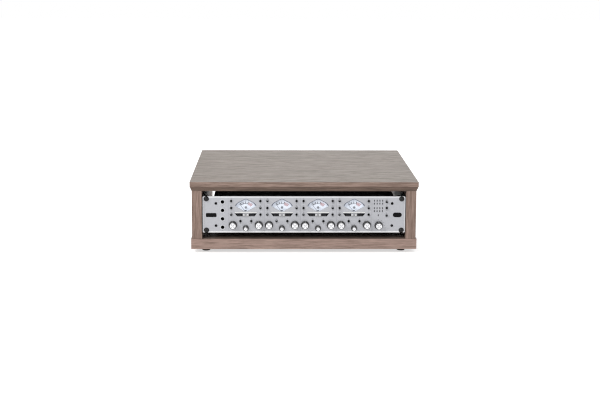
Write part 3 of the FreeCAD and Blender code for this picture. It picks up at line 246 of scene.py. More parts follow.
def turned_cap(name):
    """Face-turned aluminium with rings round the axis; its colour holds a painted crossed sheen at the
    middle, brighter towards the rim.
    """
    shader = Shader(name, linear(236, 236, 238), 0.32, 0.7, Anisotropic=0.3)
    tangent = shader.node("Tangent", direction_type="RADIAL", axis="Y")
    shader.feed(shader.bsdf, "Tangent", (tangent, "Tangent"))
    spot = (shader.node("TexCoord"), "Generated")
    rings = shader.node("TexWave", wave_type="RINGS", rings_direction="Y",
                        Scale=14.0, Distortion=0.4, Detail=1.0, Vector=spot)
    shader.bump((rings, "Fac"), 0.10, 0.0001)
    # The colour below is a painted sheen: darker wedges in a cross, brighter towards the rim.
    centred = shader.math("SUBTRACT", spot, (0.5, 0.0, 0.5), kind="VectorMath")
    flat = shader.math("MULTIPLY", centred, (1.0, 0.0, 1.0), kind="VectorMath")
    radius, _ = shader.math("LENGTH", flat, kind="VectorMath")
    split = shader.node("SeparateXYZ", Vector=flat)
    angle = shader.math("ARCTAN2", (split, "X"), (split, "Z"))
    painted_sheen = shader.math("COSINE", shader.math("MULTIPLY", angle, 4.0))
    painted_sheen_level = shader.math("MULTIPLY_ADD", (radius, "Value"), 2.8, painted_sheen)
    shader.colour_from(shader.ramp(painted_sheen_level, (0.0, linear(184, 185, 188)),
                                   (0.9, linear(242, 242, 244))))


def lever_metal(name):
    """Plated toggle lever whose colour runs from light at the tip to black at the neck: a painted
    reflection of the bushing.
    """
    shader = Shader(name, linear(150, 151, 154), 0.3, 0.3)
    split = shader.node("SeparateXYZ", Vector=(shader.node("TexCoord"), "Generated"))
    shader.colour_from(shader.ramp((split, "Y"), (0.24, linear(156, 157, 161)),
                                   (0.31, linear(80, 81, 84)), (0.38, linear(4, 4, 5))))
    shader.roughness_from(shader.noise((1, 1, 1), 900.0), 0.25, 0.35)


def ink(name, rgb):
    """Flat printing ink."""
    colour = linear(*rgb)
    shader = Shader(name, colour, 0.55)
    noise = shader.noise((1, 1, 1), 3000.0)
    shader.colour_from(shader.ramp(noise, (0.3, shade(colour, 0.9)), (0.7, colour)))


def make_materials():
    """Every material once. Colours are 8-bit sRGB and mostly come first."""
    # The top's face: a greyer copy of the wood, a painted sheen.
    wood_laminate("wood_top", 0, (157, 148, 141), (130, 122, 115), 0.09, 0.12, 200.0)
    for axis, name in enumerate(("wood_along_x", "wood_along_y", "wood_along_z")):
        wood_laminate(name, axis, (182, 157, 145), (140, 119, 108))
    wood_laminate("wood_base", 0, (198, 170, 159), (163, 139, 128))
    # A darker copy for the bevel under the top's front edge: painted shade.
    wood_laminate("wood_under", 0, (146, 124, 112), (114, 97, 87))
    # A darker copy for the base's floor inside the case: painted shade.
    wood_laminate("wood_inner", 0, (108, 92, 84), (86, 73, 66))
    wood_laminate("beech", 2, (205, 175, 135), (185, 155, 115))
    painted("rubber", (28, 28, 29), 0.8, 0.3, 1400.0)
    painted("black_powder_coat", (17, 17, 18), 0.62, 0.35, 1800.0)
    painted("black_oxide", (15, 15, 17), 0.36, 0.1, 2200.0, 0.3)
    painted("black_plastic", (16, 16, 17), 0.42, 0.12, 1500.0)
    painted("knob_gloss", (22, 22, 24), 0.26, 0.05, 1200.0, Coat_Weight=0.3)
    painted("plate_black", (10, 10, 12), 0.5, 0.04, 1200.0, Specular_IOR_Level=0.1)
    painted("well_black", (8, 8, 9), 0.7, 0.1, 1200.0, Specular_IOR_Level=0.1)
    painted("number_plate", (170, 171, 174), 0.35, 0.03, metallic=0.2)
    # The dial glows a little: painted light that lifts the shade under the window's edge.
    painted("dial_card", (232, 237, 246), 0.6, 0.03,
            Emission_Color=linear(226, 234, 250), Emission_Strength=0.40)
    # Dark rim above each meter window: painted shade; light rim below it: a painted highlight.
    painted("meter_bezel", (104, 107, 119), 0.45)
    painted("meter_bezel_low", (198, 200, 206), 0.4)
    painted("zero_screw_grey", (158, 162, 170), 0.4)
    painted("needle_black", (24, 24, 26), 0.5)
    painted("needle_hub", (190, 195, 204), 0.4)
    painted("lamp_grey", (58, 58, 62), 0.3, 0.03, 800.0)
    painted("lamp_clear", (238, 238, 240), 0.18, 0.02, 800.0)
    painted("circuit_board", (24, 78, 46), 0.4, 0.1, 600.0)
    painted("winding_tape", (196, 164, 74), 0.5, 0.2, 300.0)
    painted("transformer_can", (150, 152, 156), 0.35, 0.06, metallic=0.9)
    # A lighter copy of the panel for its upward bevels: a painted highlight.
    brushed("panel_edge", (216, 217, 220), 0.40, 0.4, (0.02, 1, 1))
    # A glowing copy for the panel's downward bevels: a painted glow.
    brushed("panel_edge_low", (250, 250, 252), 0.40, 0.0, (0.02, 1, 1),
            Emission_Color=linear(236, 236, 238), Emission_Strength=0.5)
    brushed("bright_strip", (222, 222, 220), 0.32, 0.7, (0.03, 1, 1))
    brushed("zinc_plate", (176, 178, 182), 0.34, 1.0, (0.2, 1, 1))
    brushed("nickel_nut", (190, 191, 194), 0.3, 0.9, (1, 1, 1), 0.04)
    brushed("dark_bushing", (104, 105, 108), 0.4, 0.3, (1, 1, 1), 0.04)
    # The lighter border along the panel's edges is a painted highlight.
    panel_face("panel_face", (189, 190, 195), (226, 227, 231), 3.7 * MM)
    turned_cap("turned_cap")
    lever_metal("lever_chrome")
    ink("ink_black", (30, 31, 37))
    ink("ink_dial", (62, 64, 72))
    ink("ink_grey", (118, 119, 126))
    ink("ink_line", (158, 159, 166))
    ink("ink_pink", (248, 228, 235))
    ink("ink_red", (234, 150, 163))
    ink("ink_white", (196, 196, 196))
    glass = Shader("meter_lens", linear(240, 244, 250), 0.05, Alpha=0.05)
    glass.roughness_from(glass.noise((1, 1, 1), 200.0), 0.04, 0.07)


make_materials()


# ---- mesh helpers
def islands(node):
    """Low and high corner of each separate solid in a CAD node."""
    mesh = NODES[node].data
    points = [tuple(round(c, 7) for c in vertex.co) for vertex in mesh.vertices]
    parent = {point: point for point in points}

    def root(point):
        while parent[point] != point:
            parent[point] = parent[parent[point]]
            point = parent[point]
        return point

    for polygon in mesh.polygons:
        roots = [root(points[index]) for index in polygon.vertices]
        for other in roots:
            parent[other] = roots[0]
    groups = {}
    for point in parent:
        groups.setdefault(root(point), []).append(point)
    found = []
    for group in groups.values():
        axes = list(zip(*group))
        found.append((Vector([min(axis) for axis in axes]), Vector([max(axis) for axis in axes])))
    return sorted(found, key=lambda pair: tuple(round(c, 5) for c in pair[0]))


def middle(low, high):
    """Middle of a box, as x and z."""
    return (low.x + high.x) / 2, (low.z + high.z) / 2


def around(r, y, *offsets):
    """Profile points at offsets in millimetres from (r, y), which is in metres."""
    return [(r + a * MM, y + b * MM) for a, b in offsets]


def rectangle(x0, x1, z0, z1):
    return [(x0, z0), (x1, z0), (x1, z1), (x0, z1)]


def add_object(name, data):
    obj = bpy.data.objects.new(name, data)
    bpy.context.scene.collection.objects.link(obj)
    return obj


def dress(node, material, rule=None, extra=()):
    """Gives a CAD node its material; rule(polygon) picks an extra one by index."""
    mesh = NODES[node].data
    mesh.materials.clear()
    for mat in (material, *extra):
        mesh.materials.append(MATS[mat])
    for polygon in mesh.polygons:
        polygon.material_index = rule(polygon) if rule else 0


def piece(name, bm, material, body=UNIT, smooth=True):
    """Turns a finished bmesh into a piece that rides on a body."""
    mesh = finish_bmesh(bm, name)
    obj = add_object(name, mesh)
    mesh.materials.append(MATS[material])
    if smooth:
        mesh.polygons.foreach_set("use_smooth", [True] * len(mesh.polygons))
        mesh.set_sharp_from_angle(angle=math.radians(35))
    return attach(obj, body)


def finish_bmesh(bm, name):
    bmesh.ops.recalc_face_normals(bm, faces=bm.faces)
    mesh = bpy.data.meshes.new(name)
    bm.to_mesh(mesh)
    bm.free()
    return mesh


def add_lathe(bm, profile, centre, segments, matrix=None, wobble=None):
    """Adds a body turned about the Y axis; profile is (radius, y) in metres.

    wobble(angle, radius, y) returns a new radius, for flutes and knurls.
    """
    rings = []
    for radius, y in profile:
        if radius == 0:
            rings.append([bm.verts.new((0, y, 0))])
            continue
        ring = []
        for k in range(segments):
            angle = 2 * math.pi * k / segments
            r = wobble(angle, radius, y) if wobble else radius
            ring.append(bm.verts.new((r * math.sin(angle), y, r * math.cos(angle))))
        rings.append(ring)
    for near, far in zip(rings, rings[1:]):
        for k in range(segments):
            n = (k + 1) % segments
            if len(near) == 1:
                bm.faces.new((near[0], far[k], far[n]))
            elif len(far) == 1:
                bm.faces.new((near[k], far[0], near[n]))
            else:
                bm.faces.new((near[k], far[k], far[n], near[n]))
    verts = [v for ring in rings for v in ring]
    move = Matrix.Translation(centre)
    bmesh.ops.transform(bm, matrix=move @ matrix if matrix else move, verts=verts)


def add_box(bm, low, high, bevel):
    made = bmesh.ops.create_cube(bm, size=1.0)["verts"]
    low, high = Vector(low), Vector(high)
    bmesh.ops.scale(bm, vec=high - low, verts=made)
    bmesh.ops.translate(bm, vec=(low + high) / 2, verts=made)
    edges = list({e for v in made for e in v.link_edges})
    bmesh.ops.bevel(bm, geom=edges, offset=bevel, segments=2, profile=0.5, affect="EDGES")


def join_loops(bm, near, far):
    """Closes two loops of corners with walls between them."""
    bm.faces.new(near)
    bm.faces.new(far[::-1])
    for k in range(len(near)):
        n = (k + 1) % len(near)
        bm.faces.new((near[k], far[k], far[n], near[n]))


def add_prism(bm, outline, y0, y1):
    """A plate with its outline (x, z) in the XZ plane, from y0 to y1."""
    join_loops(bm, [bm.verts.new((x, y0, z)) for x, z in outline],
               [bm.verts.new((x, y1, z)) for x, z in outline])


def add_text(bm, text, x, z, height, y):
    """Flat plain figures that face the front, centred at (x, z)."""
    curve = bpy.data.curves.new("figure", "FONT")
    curve.body = text
    curve.size = height * FONT_SIZE_PER_HEIGHT
    curve.align_x = "CENTER"
    curve.align_y = "CENTER"
    curve.extrude = INK_LIFT / 2
    curve.resolution_u = 2
    carrier = add_object("figure", curve)
    bpy.context.view_layer.update()
    mesh = bpy.data.meshes.new_from_object(carrier)
    mesh.transform(Matrix.Translation((x, y, z)) @ Matrix.Rotation(math.pi / 2, 4, "X"))
    bm.from_mesh(mesh)
    bpy.data.meshes.remove(mesh)
    bpy.data.objects.remove(carrier)
    bpy.data.curves.remove(curve)


def carve(obj, bm):
    """Cuts the bmesh out of a piece and keeps the result as a plain mesh."""
    cutter = add_object("cutter", finish_bmesh(bm, "cutter"))
    modifier = obj.modifiers.new("cut", "BOOLEAN")
    modifier.object = cutter
    modifier.solver = "EXACT"
    bpy.context.view_layer.update()
    depsgraph = bpy.context.evaluated_depsgraph_get()
    mesh = bpy.data.meshes.new_from_object(obj.evaluated_get(depsgraph))
    if not mesh.polygons:
        raise RuntimeError("the cut left nothing of " + obj.name)
    obj.modifiers.clear()
    old = obj.data
    obj.data = mesh
    bpy.data.meshes.remove(old)
    bpy.data.objects.remove(cutter)


# ---- case and chassis
PLAIN_NODES = {
    "case_left_side": "wood_along_z", "case_right_side": "wood_along_z",
    "case_feet": "rubber", "case_dowels": "beech", "rack_rails": "black_powder_coat",
    "chassis_tray": "black_powder_coat", "chassis_cover": "black_powder_coat",
    "fixing_screws": "well_black", "meter_housings": "black_plastic",
    "meter_dials": "dial_card", "meter_lenses": "meter_lens",
    "indicator_lamps": "lamp_grey", "potentiometers": "zinc_plate",
}
JACK_MOUTH_R = 4.6 * MM
JACK_NUT_LIFT = 0.2 * MM
BOARD_UNDERSIDE = 7.5 * MM
BOARD_TOP = 9.5 * MM
CAN_ROW_DEPTH = 30.0 * MM
TOROID_PLATE = 8.2 * MM
NEEDLE_HUB_R = 2.5 * MM


def dress_plain():
    for node, material in PLAIN_NODES.items():
        dress(node, material)


def dress_boards():
    """Grain along the longer way of each board. The top's face is greyer, a painted sheen; the bevel
    under the top and the base's floor inside the case are darker, painted shade.
    """
    def top_rule(polygon):
        if polygon.normal.z > 0.9:
            return 0
        # The bevel under the front edge faces down and gets a darker copy of the wood: painted shade.
        if -0.95 < polygon.normal.z < -0.15:
            return 3
        return 1 if abs(polygon.normal.x) < 0.5 else 2

    def base_rule(polygon):
        # The base's upward face inside the case gets a darker copy of the wood: painted shade.
        if polygon.normal.z > 0.9:
            return 2
        return 1 if abs(polygon.normal.x) > 0.5 else 0
    dress("case_top_panel", "wood_top", top_rule, ("wood_along_x", "wood_along_y", "wood_under"))
    dress("case_bottom_panel", "wood_base", base_rule, ("wood_along_y", "wood_inner"))


def dress_front():
    """The panel's face, edges and inside, and the nuts and mouths of the jacks."""
    def panel_rule(polygon):
        if polygon.normal.y < -0.99:
            return 0
        # Bevels facing up get a lighter copy, a painted highlight; bevels facing down get a glowing
        # copy, a painted glow.
        if abs(polygon.normal.z) > 0.2 and polygon.normal.y < -0.3:
            return 1 if polygon.normal.z > 0 else 3
        return 2

    def jack_rule(polygon):
        c = polygon.center
        if min(math.hypot(c.x - x, c.z - z) for x, z in spots) < JACK_MOUTH_R:
            return 2
        return 1 if c.y < PANEL_Y - JACK_NUT_LIFT else 0
    spots = [middle(low, high) for low, high in islands("instrument_jacks")]
    dress("front_panel", "panel_face", panel_rule, ("panel_edge", "zinc_plate", "panel_edge_low"))
    dress("instrument_jacks", "black_plastic", jack_rule, ("nickel_nut", "well_black"))


def dress_inside():
    """Spacers, board, transformer cans and capacitors, and the big transformer."""
    def board_rule(polygon):
        height = polygon.center.z - low.z
        if height < BOARD_TOP:
            return 0 if height > BOARD_UNDERSIDE else 1
        return 2 if polygon.center.y < (low.y + high.y) / 2 - CAN_ROW_DEPTH else 3

    def toroid_rule(polygon):
        return 0 if polygon.center.z < toroid_top else 1
    low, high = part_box("circuit_board")
    toroid_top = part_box("power_transformer")[1].z - TOROID_PLATE
    dress("circuit_board", "circuit_board", board_rule,
          ("zinc_plate", "transformer_can", "black_plastic"))
    dress("power_transformer", "winding_tape", toroid_rule, ("zinc_plate",))


def dress_needles():
    for number in range(1, 5):
        name = "ch%d_needle" % number
        pivot = Vector(JOINTS[name]["pos_m"])

        def rule(polygon, pivot=pivot):
            reach = math.hypot(polygon.center.x - pivot.x, polygon.center.z - pivot.z)
            return 1 if reach < NEEDLE_HUB_R else 0
        dress(name, "needle_black", rule, ("needle_hub",))


# ---- knobs
# A y is counted from the panel's face, so what stands in front is negative.
FLUTES = 24
FLUTE_DEPTH = 0.22 * MM
SKIRT_BACK = -0.8 * MM
SKIRT_FRONT = SKIRT_BACK - 2.4 * MM
SHAFT_R = 3.0 * MM
BORE_R = 5.3 * MM
CAP_CROWN = 0.4 * MM
CAP_GROOVES = 5
LARGE_KNOB_R = 8.5 * MM
LARGE_CAP_R = 7.0 * MM
SMALL_CAP_R = 4.2 * MM
GRIP_WALL = 0.9 * MM
TAPER_STEPS = 9
POINTER_HALF = 0.42 * MM


def knob_body(name, centre, skirt, cap_r, face, shaft_end):
    """Skirt and fluted grip round the shaft; face is the y of the cap's edge."""
    grip_r = cap_r + GRIP_WALL
    foot, foot_y = skirt - 1.5 * MM, SKIRT_FRONT - 0.35 * MM
    grip_start, grip_end = SKIRT_FRONT - 0.3 * MM, face + 0.65 * MM
    profile = [(BORE_R, -2.3 * MM), (BORE_R, SKIRT_BACK)]
    profile += around(skirt, SKIRT_BACK, (-0.3, 0), (0, -0.3))
    profile += around(skirt, SKIRT_FRONT, (0, 0.35), (-0.12, 0.1), (-0.35, 0), (-1.2, -0.15))
    for k in range(TAPER_STEPS + 1):
        t = k / TAPER_STEPS
        profile.append((foot + t * (grip_r - foot), foot_y + t * (face + 0.7 * MM - foot_y)))
    profile += around(grip_r, face, (-0.12, 0.3), (-0.4, 0.05))
    profile += around(cap_r, face, (0.1, 0), (0, 0.2), (0, 0.9))
    profile.append((0, face + 0.9 * MM))

    def flute(angle, radius, y):
        if not grip_end <= y <= grip_start:
            return radius
        return radius - FLUTE_DEPTH * (0.5 - 0.5 * math.cos(FLUTES * angle)) ** 2
    bm = bmesh.new()
    add_lathe(bm, profile, centre, 96, wobble=flute)
    add_lathe(bm, [(0, -2.6 * MM), (SHAFT_R, -2.6 * MM), (SHAFT_R, shaft_end), (0, shaft_end)],
              centre, 24)
    body = piece(name + "_body", bm, "knob_gloss", name)
    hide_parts(name)


def knob_cap(name, centre, cap_r, face):
    """Turned cap with fine ring grooves on a low crown."""
    inner = cap_r - 0.06 * MM
    rings = [(0, face + 0.85 * MM)] + around(inner, face, (0, 0.85), (0, 0.1), (-0.25, -0.12))
    for k in range(1, CAP_GROOVES):
        r = inner * (1 - k / CAP_GROOVES) + 0.3 * MM
        lift = face - CAP_CROWN * (0.45 + 0.5 * k / CAP_GROOVES)
        rings += around(r, lift, (0.35, 0), (0.12, 0.05), (-0.1, 0))
    rings.append((0, face - CAP_CROWN * 0.9))
    bm = bmesh.new()
    add_lathe(bm, rings, centre, 64)
    cap = piece(name + "_cap", bm, "turned_cap", name)


def knob_pointer(name, centre, skirt, cap_r, face):
    """White line along the skirt and the grip, as a bent strip let into them."""
    line = around(skirt, SKIRT_FRONT, (-0.02, 0.15), (-0.35, -0.06), (-1.4, -0.31))
    line += around(cap_r + GRIP_WALL, face, (0.06, 0.7), (-0.3, -0.03))
    section = line + [(r - 0.35 * MM, y + 0.2 * MM) for r, y in line][::-1]
    bm = bmesh.new()
    sides = []
    for x in (centre.x - POINTER_HALF, centre.x + POINTER_HALF):
        sides.append([bm.verts.new((x, PANEL_Y + y, centre.z + r)) for r, y in section])
    join_loops(bm, *sides)
    pointer = piece(name + "_pointer", bm, "ink_white", name, False)


def knob_pieces(name):
    """A fluted black knob with its turned cap and white pointer line."""
    low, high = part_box(name)
    pivot = Vector(JOINTS[name]["pos_m"])
    centre = Vector((pivot.x, PANEL_Y, pivot.z))
    skirt = (high.x - low.x) / 2
    face = low.y - PANEL_Y + CAP_CROWN
    cap_r = LARGE_CAP_R if skirt > LARGE_KNOB_R else SMALL_CAP_R
    knob_body(name, centre, skirt, cap_r, face, high.y - PANEL_Y)
    knob_cap(name, centre, cap_r, face)
    knob_pointer(name, centre, skirt, cap_r, face)
    return centre, skirt


# ---- toggle switches
LEVER_LENGTH = 8.6 * MM
LEVER_BALL = 1.1 * MM
LEVER_TIP = 1.25 * MM
LEVER_TILT = math.radians(max(map(abs, JOINTS["master_toggle_top"]["range_deg"])) / 2)
LEVER_PIVOT = 1.3 * MM


def lever_profile():
    """Ball, neck, shank and rounded tip of a lever, from the ball forwards."""
    rows = []
    for k in range(7):
        angle = math.radians(90 - 22 * k)
        rows.append((0 if k == 0 else LEVER_BALL * math.cos(angle), LEVER_BALL * math.sin(angle)))
    rows.append((0.75 * MM, -1.4 * MM))
    for k in range(1, 6):
        t = k / 5
        rows.append(((0.75 + 0.5 * t ** 0.8) * MM, -(1.6 + 7.0 * t) * MM))
    for k in range(1, 6):
        angle = math.radians(18 * k)
        rows.append((0 if k == 5 else LEVER_TIP * math.cos(angle),
                     -LEVER_LENGTH - LEVER_TIP * math.sin(angle)))
    return rows


def add_lever(bm, x, z, up):
    turn = Matrix.Rotation(-LEVER_TILT if up else LEVER_TILT, 4, "X")
    add_lathe(bm, lever_profile(), Vector((x, PANEL_Y - LEVER_PIVOT, z)), 20, turn)


BUSHING_R = 2.85 * MM
BUSHING_FRONT = -2.6 * MM
BUSHING_CORNERS = 36
WELL_FLOOR = 0.3 * MM
NUT_CORNERS = 36
# The dark oval is the switch's hole and, around it, painted shade.
WELL_HALF_WIDTH = 2.2 * MM
WELL_HALF_HEIGHT = 2.78 * MM


def add_well(faces, wells, centre):
    """Front ring from the round rim to the oval slot, and the dark slot behind it: the switch's hole,
    drawn wider as painted shade round the lever.
    """
    count = BUSHING_CORNERS
    turns = [2 * math.pi * (k + 0.5) / count for k in range(count)]

    def ring(bm, half_width, half_height, y):
        return [bm.verts.new((centre.x + half_width * math.sin(turn), centre.y + y,
                              centre.z + half_height * math.cos(turn))) for turn in turns]
    outer = ring(faces, BUSHING_R, BUSHING_R, BUSHING_FRONT)
    inner = ring(faces, WELL_HALF_WIDTH, WELL_HALF_HEIGHT, BUSHING_FRONT)
    near = ring(wells, WELL_HALF_WIDTH, WELL_HALF_HEIGHT, BUSHING_FRONT)
    far = ring(wells, WELL_HALF_WIDTH, WELL_HALF_HEIGHT, WELL_FLOOR)
    for k in range(count):
        n = (k + 1) % count
        faces.faces.new((outer[k], outer[n], inner[n], inner[k]))
        wells.faces.new((near[k], near[n], far[n], far[k]))
    wells.faces.new(far)


def knurl(angle, radius, y):
    """Every second corner of the nut's rim is set back, all but the first."""
    corner = round(angle * NUT_CORNERS / (2 * math.pi))
    return radius - (0.10 * MM if radius > 3 * MM and corner and corner % 2 == 0 else 0)


def toggle_pieces():
    """Nuts, bushings, slots and bodies of all switches, and their levers."""
    nuts, bodies, rims, wells = bmesh.new(), bmesh.new(), bmesh.new(), bmesh.new()
    thread = around(BUSHING_R, BUSHING_FRONT, (0, 0), (0.2, 0.2), (0.2, 0.5), (0, 0.65),
                    (0.2, 0.8), (0, 0.95), (0.2, 1.1), (0.2, 1.7))
    nut = around(0, 0, (2.6, 0), (3.7, 0), (3.7, -0.75), (3.4, -1.1), (2.95, -1.1), (2.6, -0.8),
                 (2.6, 0))
    spots = []
    for low, high in islands("toggle_switches"):
        x, z = middle(low, high)
        spots.append((x, z))
        centre = Vector((x, PANEL_Y, z))
        add_lathe(rims, thread, centre, BUSHING_CORNERS)
        add_well(rims, wells, centre)
        add_box(bodies, (low.x, PANEL_Y + 3 * MM, low.z), high, 0.3 * MM)
        add_lathe(nuts, nut, centre, NUT_CORNERS, wobble=knurl)
    body = piece("toggle_bodies", bodies, "black_plastic")
    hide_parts("toggle_switches")
    rim = piece("toggle_bushings", rims, "dark_bushing")
    dark = piece("toggle_wells", wells, "well_black")
    ring = piece("toggle_nuts", nuts, "nickel_nut")

    for name, joint in JOINTS.items():
        if "toggle" in name:
            bm = bmesh.new()
            x, _, z = joint["pos_m"]
            add_lever(bm, x, z, joint["range_deg"][1] > 0)
            lever = piece(name + "_lever", bm, "lever_chrome", name)
            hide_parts(name)
    bm = bmesh.new()
    for low, high in islands("toggle_levers"):
        x, lever_z = middle(low, high)
        column = [spot[1] for spot in spots if abs(spot[0] - x) < 2 * MM]
        z = min(column, key=lambda value: abs(value - lever_z))
        add_lever(bm, x, z, lever_z > z)
    shared = piece("shared_levers", bm, "lever_chrome")
    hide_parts("toggle_levers")
    return spots


# ---- screws
def cross_outline(x, z, reach, half, turn):
    """The twelve corners of a plus with arms of half width half, turned about its middle."""
    points = []
    for quarter in range(4):
        angle = turn + quarter * math.pi / 2
        along = Vector((math.cos(angle), math.sin(angle)))
        aside = Vector((-along.y, along.x))
        for corner in (along * reach - aside * half, along * reach + aside * half,
                       along * half + aside * half):
            points.append((x + corner.x, z + corner.y))
    return points


SCREW_HEAD_R = 4.9 * MM
SCREW_DOME = 1.9 * MM
SCREW_THREAD_R = 2.9 * MM
CROSS_REACH = 2.6 * MM
CROSS_HALF = 0.55 * MM
CROSS_DEPTH = 1.8 * MM


def rack_screw_pieces():
    """Black cup washers and cross-recessed pan heads in the rack slots."""
    spots = sorted({tuple(round(c, 5) for c in middle(low, high))
                    for low, high in islands("rack_screws")})
    screws, washers, cutter = bmesh.new(), bmesh.new(), bmesh.new()
    low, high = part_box("rack_screws")
    front = low.y - PANEL_Y
    back = high.y - PANEL_Y
    washer = around(0, 0, (3.3, 0), (6.3, 0), (6.3, -0.35), (6.05, -0.7), (5.3, -1.4), (5.0, -1.4),
                    (3.3, -0.9), (3.3, 0))
    screw = [(0, front)]
    for k in range(1, 8):
        angle = math.radians(90 * k / 7)
        screw.append((SCREW_HEAD_R * math.sin(angle), front + SCREW_DOME * (1 - math.cos(angle))))
    screw += [(SCREW_HEAD_R, -1.0 * MM), (SCREW_THREAD_R, -1.0 * MM), (SCREW_THREAD_R, back),
              (0, back)]
    for x, z in spots:
        centre = Vector((x, PANEL_Y, z))
        add_lathe(washers, washer, centre, 48)
        add_lathe(screws, screw, centre, 48)
        turn = random.Random(round(x * 1000) + round(z * 1000)).uniform(0, math.pi)
        add_prism(cutter, cross_outline(x, z, CROSS_REACH, CROSS_HALF, turn),
                  PANEL_Y + front - 0.5 * MM, PANEL_Y + front + CROSS_DEPTH)
    obj = piece("rack_screw_heads", screws, "black_oxide")
    carve(obj, cutter)
    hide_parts("rack_screws")
    ring = piece("rack_washers", washers, "black_oxide")


# ---- meters
# Steps are degrees from upright and widths are millimetres, one for each mark.
SCALE_STEPS = (-37, -31, -23.5, -16, -1.5, 13, 22, 31, 40)
SCALE_FIGURES = (None, "20", "10", "7", "3", "0", "1", "2", "3")
SCALE_WIDTHS = (0.9, 2.0, 0.8, 1.6, 1.6, 1.5, 0.6, 0.6, 0.6)
RED_FROM = 6
SCALE_RADIUS = 20.0 * MM


def polar(pivot, radius, degrees):
    angle = math.radians(degrees)
    return pivot.x + radius * math.sin(angle), pivot.z + radius * math.cos(angle)


def add_arc(bm, pivot, r0, r1, start, end, y):
    steps = max(2, int((end - start) / 3))
    turns = [start + (end - start) * k / steps for k in range(steps + 1)]
    for near, far in zip(turns, turns[1:]):
        add_prism(bm, [polar(pivot, r0, near), polar(pivot, r1, near),
                       polar(pivot, r1, far), polar(pivot, r0, far)], y - INK_LIFT, y)


def add_tick(bm, pivot, r0, r1, degrees, width, y):
    angle = math.radians(degrees)
    side = Vector((math.cos(angle), -math.sin(angle))) * width / 2
    a, b = Vector(polar(pivot, r0, degrees)), Vector(polar(pivot, r1, degrees))
    add_prism(bm, [a - side, b - side, b + side, a + side], y - INK_LIFT, y)


WINDOW_REACH = 35.0 * MM
RIM_UPPER = 1.1 * MM
RIM_CORNER_PAINTED_SHADOW = 2.0 * MM
RIM_LOWER = 0.8 * MM
RIM_CORNER_X = 26.0 * MM


def window_outline(mesh, x, front):
    """Corners of the lens's front round one channel, in turn round its middle."""
    points = set()
    for vertex in mesh.vertices:
        if abs(vertex.co.x - x) < WINDOW_REACH and abs(vertex.co.y - front) < 1e-5:
            points.add((round(vertex.co.x, 6), round(vertex.co.z, 6)))
    centre_z = math.fsum(z for px, z in points) / len(points)
    return sorted(points, key=lambda p: math.atan2(p[1] - centre_z, p[0] - x))


def meter_bezels():
    """A slim rim inside each window: dark above, painted shade, and light below, a painted highlight.
    """
    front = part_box("meter_lenses")[0].y
    upper, lower = bmesh.new(), bmesh.new()
    for x in CHANNEL_X:
        outline = window_outline(NODES["meter_lenses"].data, x, front)
        widest = max(outline)[1]
        count = len(outline)
        inner = []
        for k, (px, pz) in enumerate(outline):
            before, after = Vector(outline[k - 1]), Vector(outline[(k + 1) % count])
            along = (after - before).normalized()
            # The dark rim widens towards the side corners: painted shadow.
            corner = (abs(px - x) / RIM_CORNER_X) ** 5
            width = RIM_UPPER + RIM_CORNER_PAINTED_SHADOW * corner if pz > widest else RIM_LOWER
            inner.append((px - along.y * width, pz + along.x * width))
        for k in range(count):
            n = (k + 1) % count
            bm = upper if (outline[k][1] + outline[n][1]) / 2 > widest else lower
            for near, far, y0, y1 in ((outline, inner, -0.35 * MM, -0.2 * MM),
                                      (inner, inner, -0.2 * MM, 0.0)):
                corners = [(near[k], y0), (near[n], y0), (far[n], y1), (far[k], y1)]
                bm.faces.new([bm.verts.new((px, front + y, pz)) for (px, pz), y in corners])
    for bm, name, mat in ((upper, "meter_bezels", "meter_bezel"),
                          (lower, "meter_bezels_low", "meter_bezel_low")):
        bmesh.ops.remove_doubles(bm, verts=bm.verts, dist=1e-6)
        rim = piece(name, bm, mat)


ZERO_SCREW_Z = PANEL_Z + 17.0 * MM
ZERO_SCREW_R = 3.0 * MM
TICK_LENGTH = 5.6 * MM
DIAL_DEPTH = 1.0 * MM
LUG_HALF_WIDTH = 2.2 * MM
LUG_LOW = PANEL_Z + 8.4 * MM
LUG_HIGH = PANEL_Z + 10.6 * MM


def meter_print():
    """Level scale of each dial: arc, marks, plain figures and the red part."""
    dial_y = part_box("meter_dials")[1].y - DIAL_DEPTH
    black, red, pink = bmesh.new(), bmesh.new(), bmesh.new()
    inner, tick = SCALE_RADIUS, SCALE_RADIUS + TICK_LENGTH
    zero, last = SCALE_STEPS[RED_FROM - 1], SCALE_STEPS[-1]
    for number in range(1, 5):
        pivot = Vector(JOINTS["ch%d_needle" % number]["pos_m"])
        add_arc(black, pivot, inner, inner + 0.7 * MM, SCALE_STEPS[0], zero, dial_y)
        add_arc(pink, pivot, inner - 2.6 * MM, tick - 0.8 * MM, zero + 2, last + 2,
                dial_y + INK_LIFT / 2)
        add_arc(red, pivot, inner, inner + 0.5 * MM, zero, last, dial_y)
        for index, (step, figure) in enumerate(zip(SCALE_STEPS, SCALE_FIGURES)):
            target = red if index >= RED_FROM else black
            add_tick(target, pivot, inner, tick, step, SCALE_WIDTHS[index] * MM, dial_y)
            if figure:
                tx, tz = polar(pivot, tick + 1.7 * MM, step)
                add_text(target, figure, tx, tz, 1.9 * MM, dial_y)
            if 3 < index < RED_FROM:
                half_step = (step + SCALE_STEPS[index - 1]) / 2
                add_tick(black, pivot, inner, inner + 2.4 * MM, half_step, 0.5 * MM, dial_y)
    for bm, name, mat in ((black, "dial_marks", "ink_dial"), (red, "dial_red", "ink_red"),
                          (pink, "dial_pink", "ink_pink")):
        marks = piece(name, bm, mat, smooth=False)


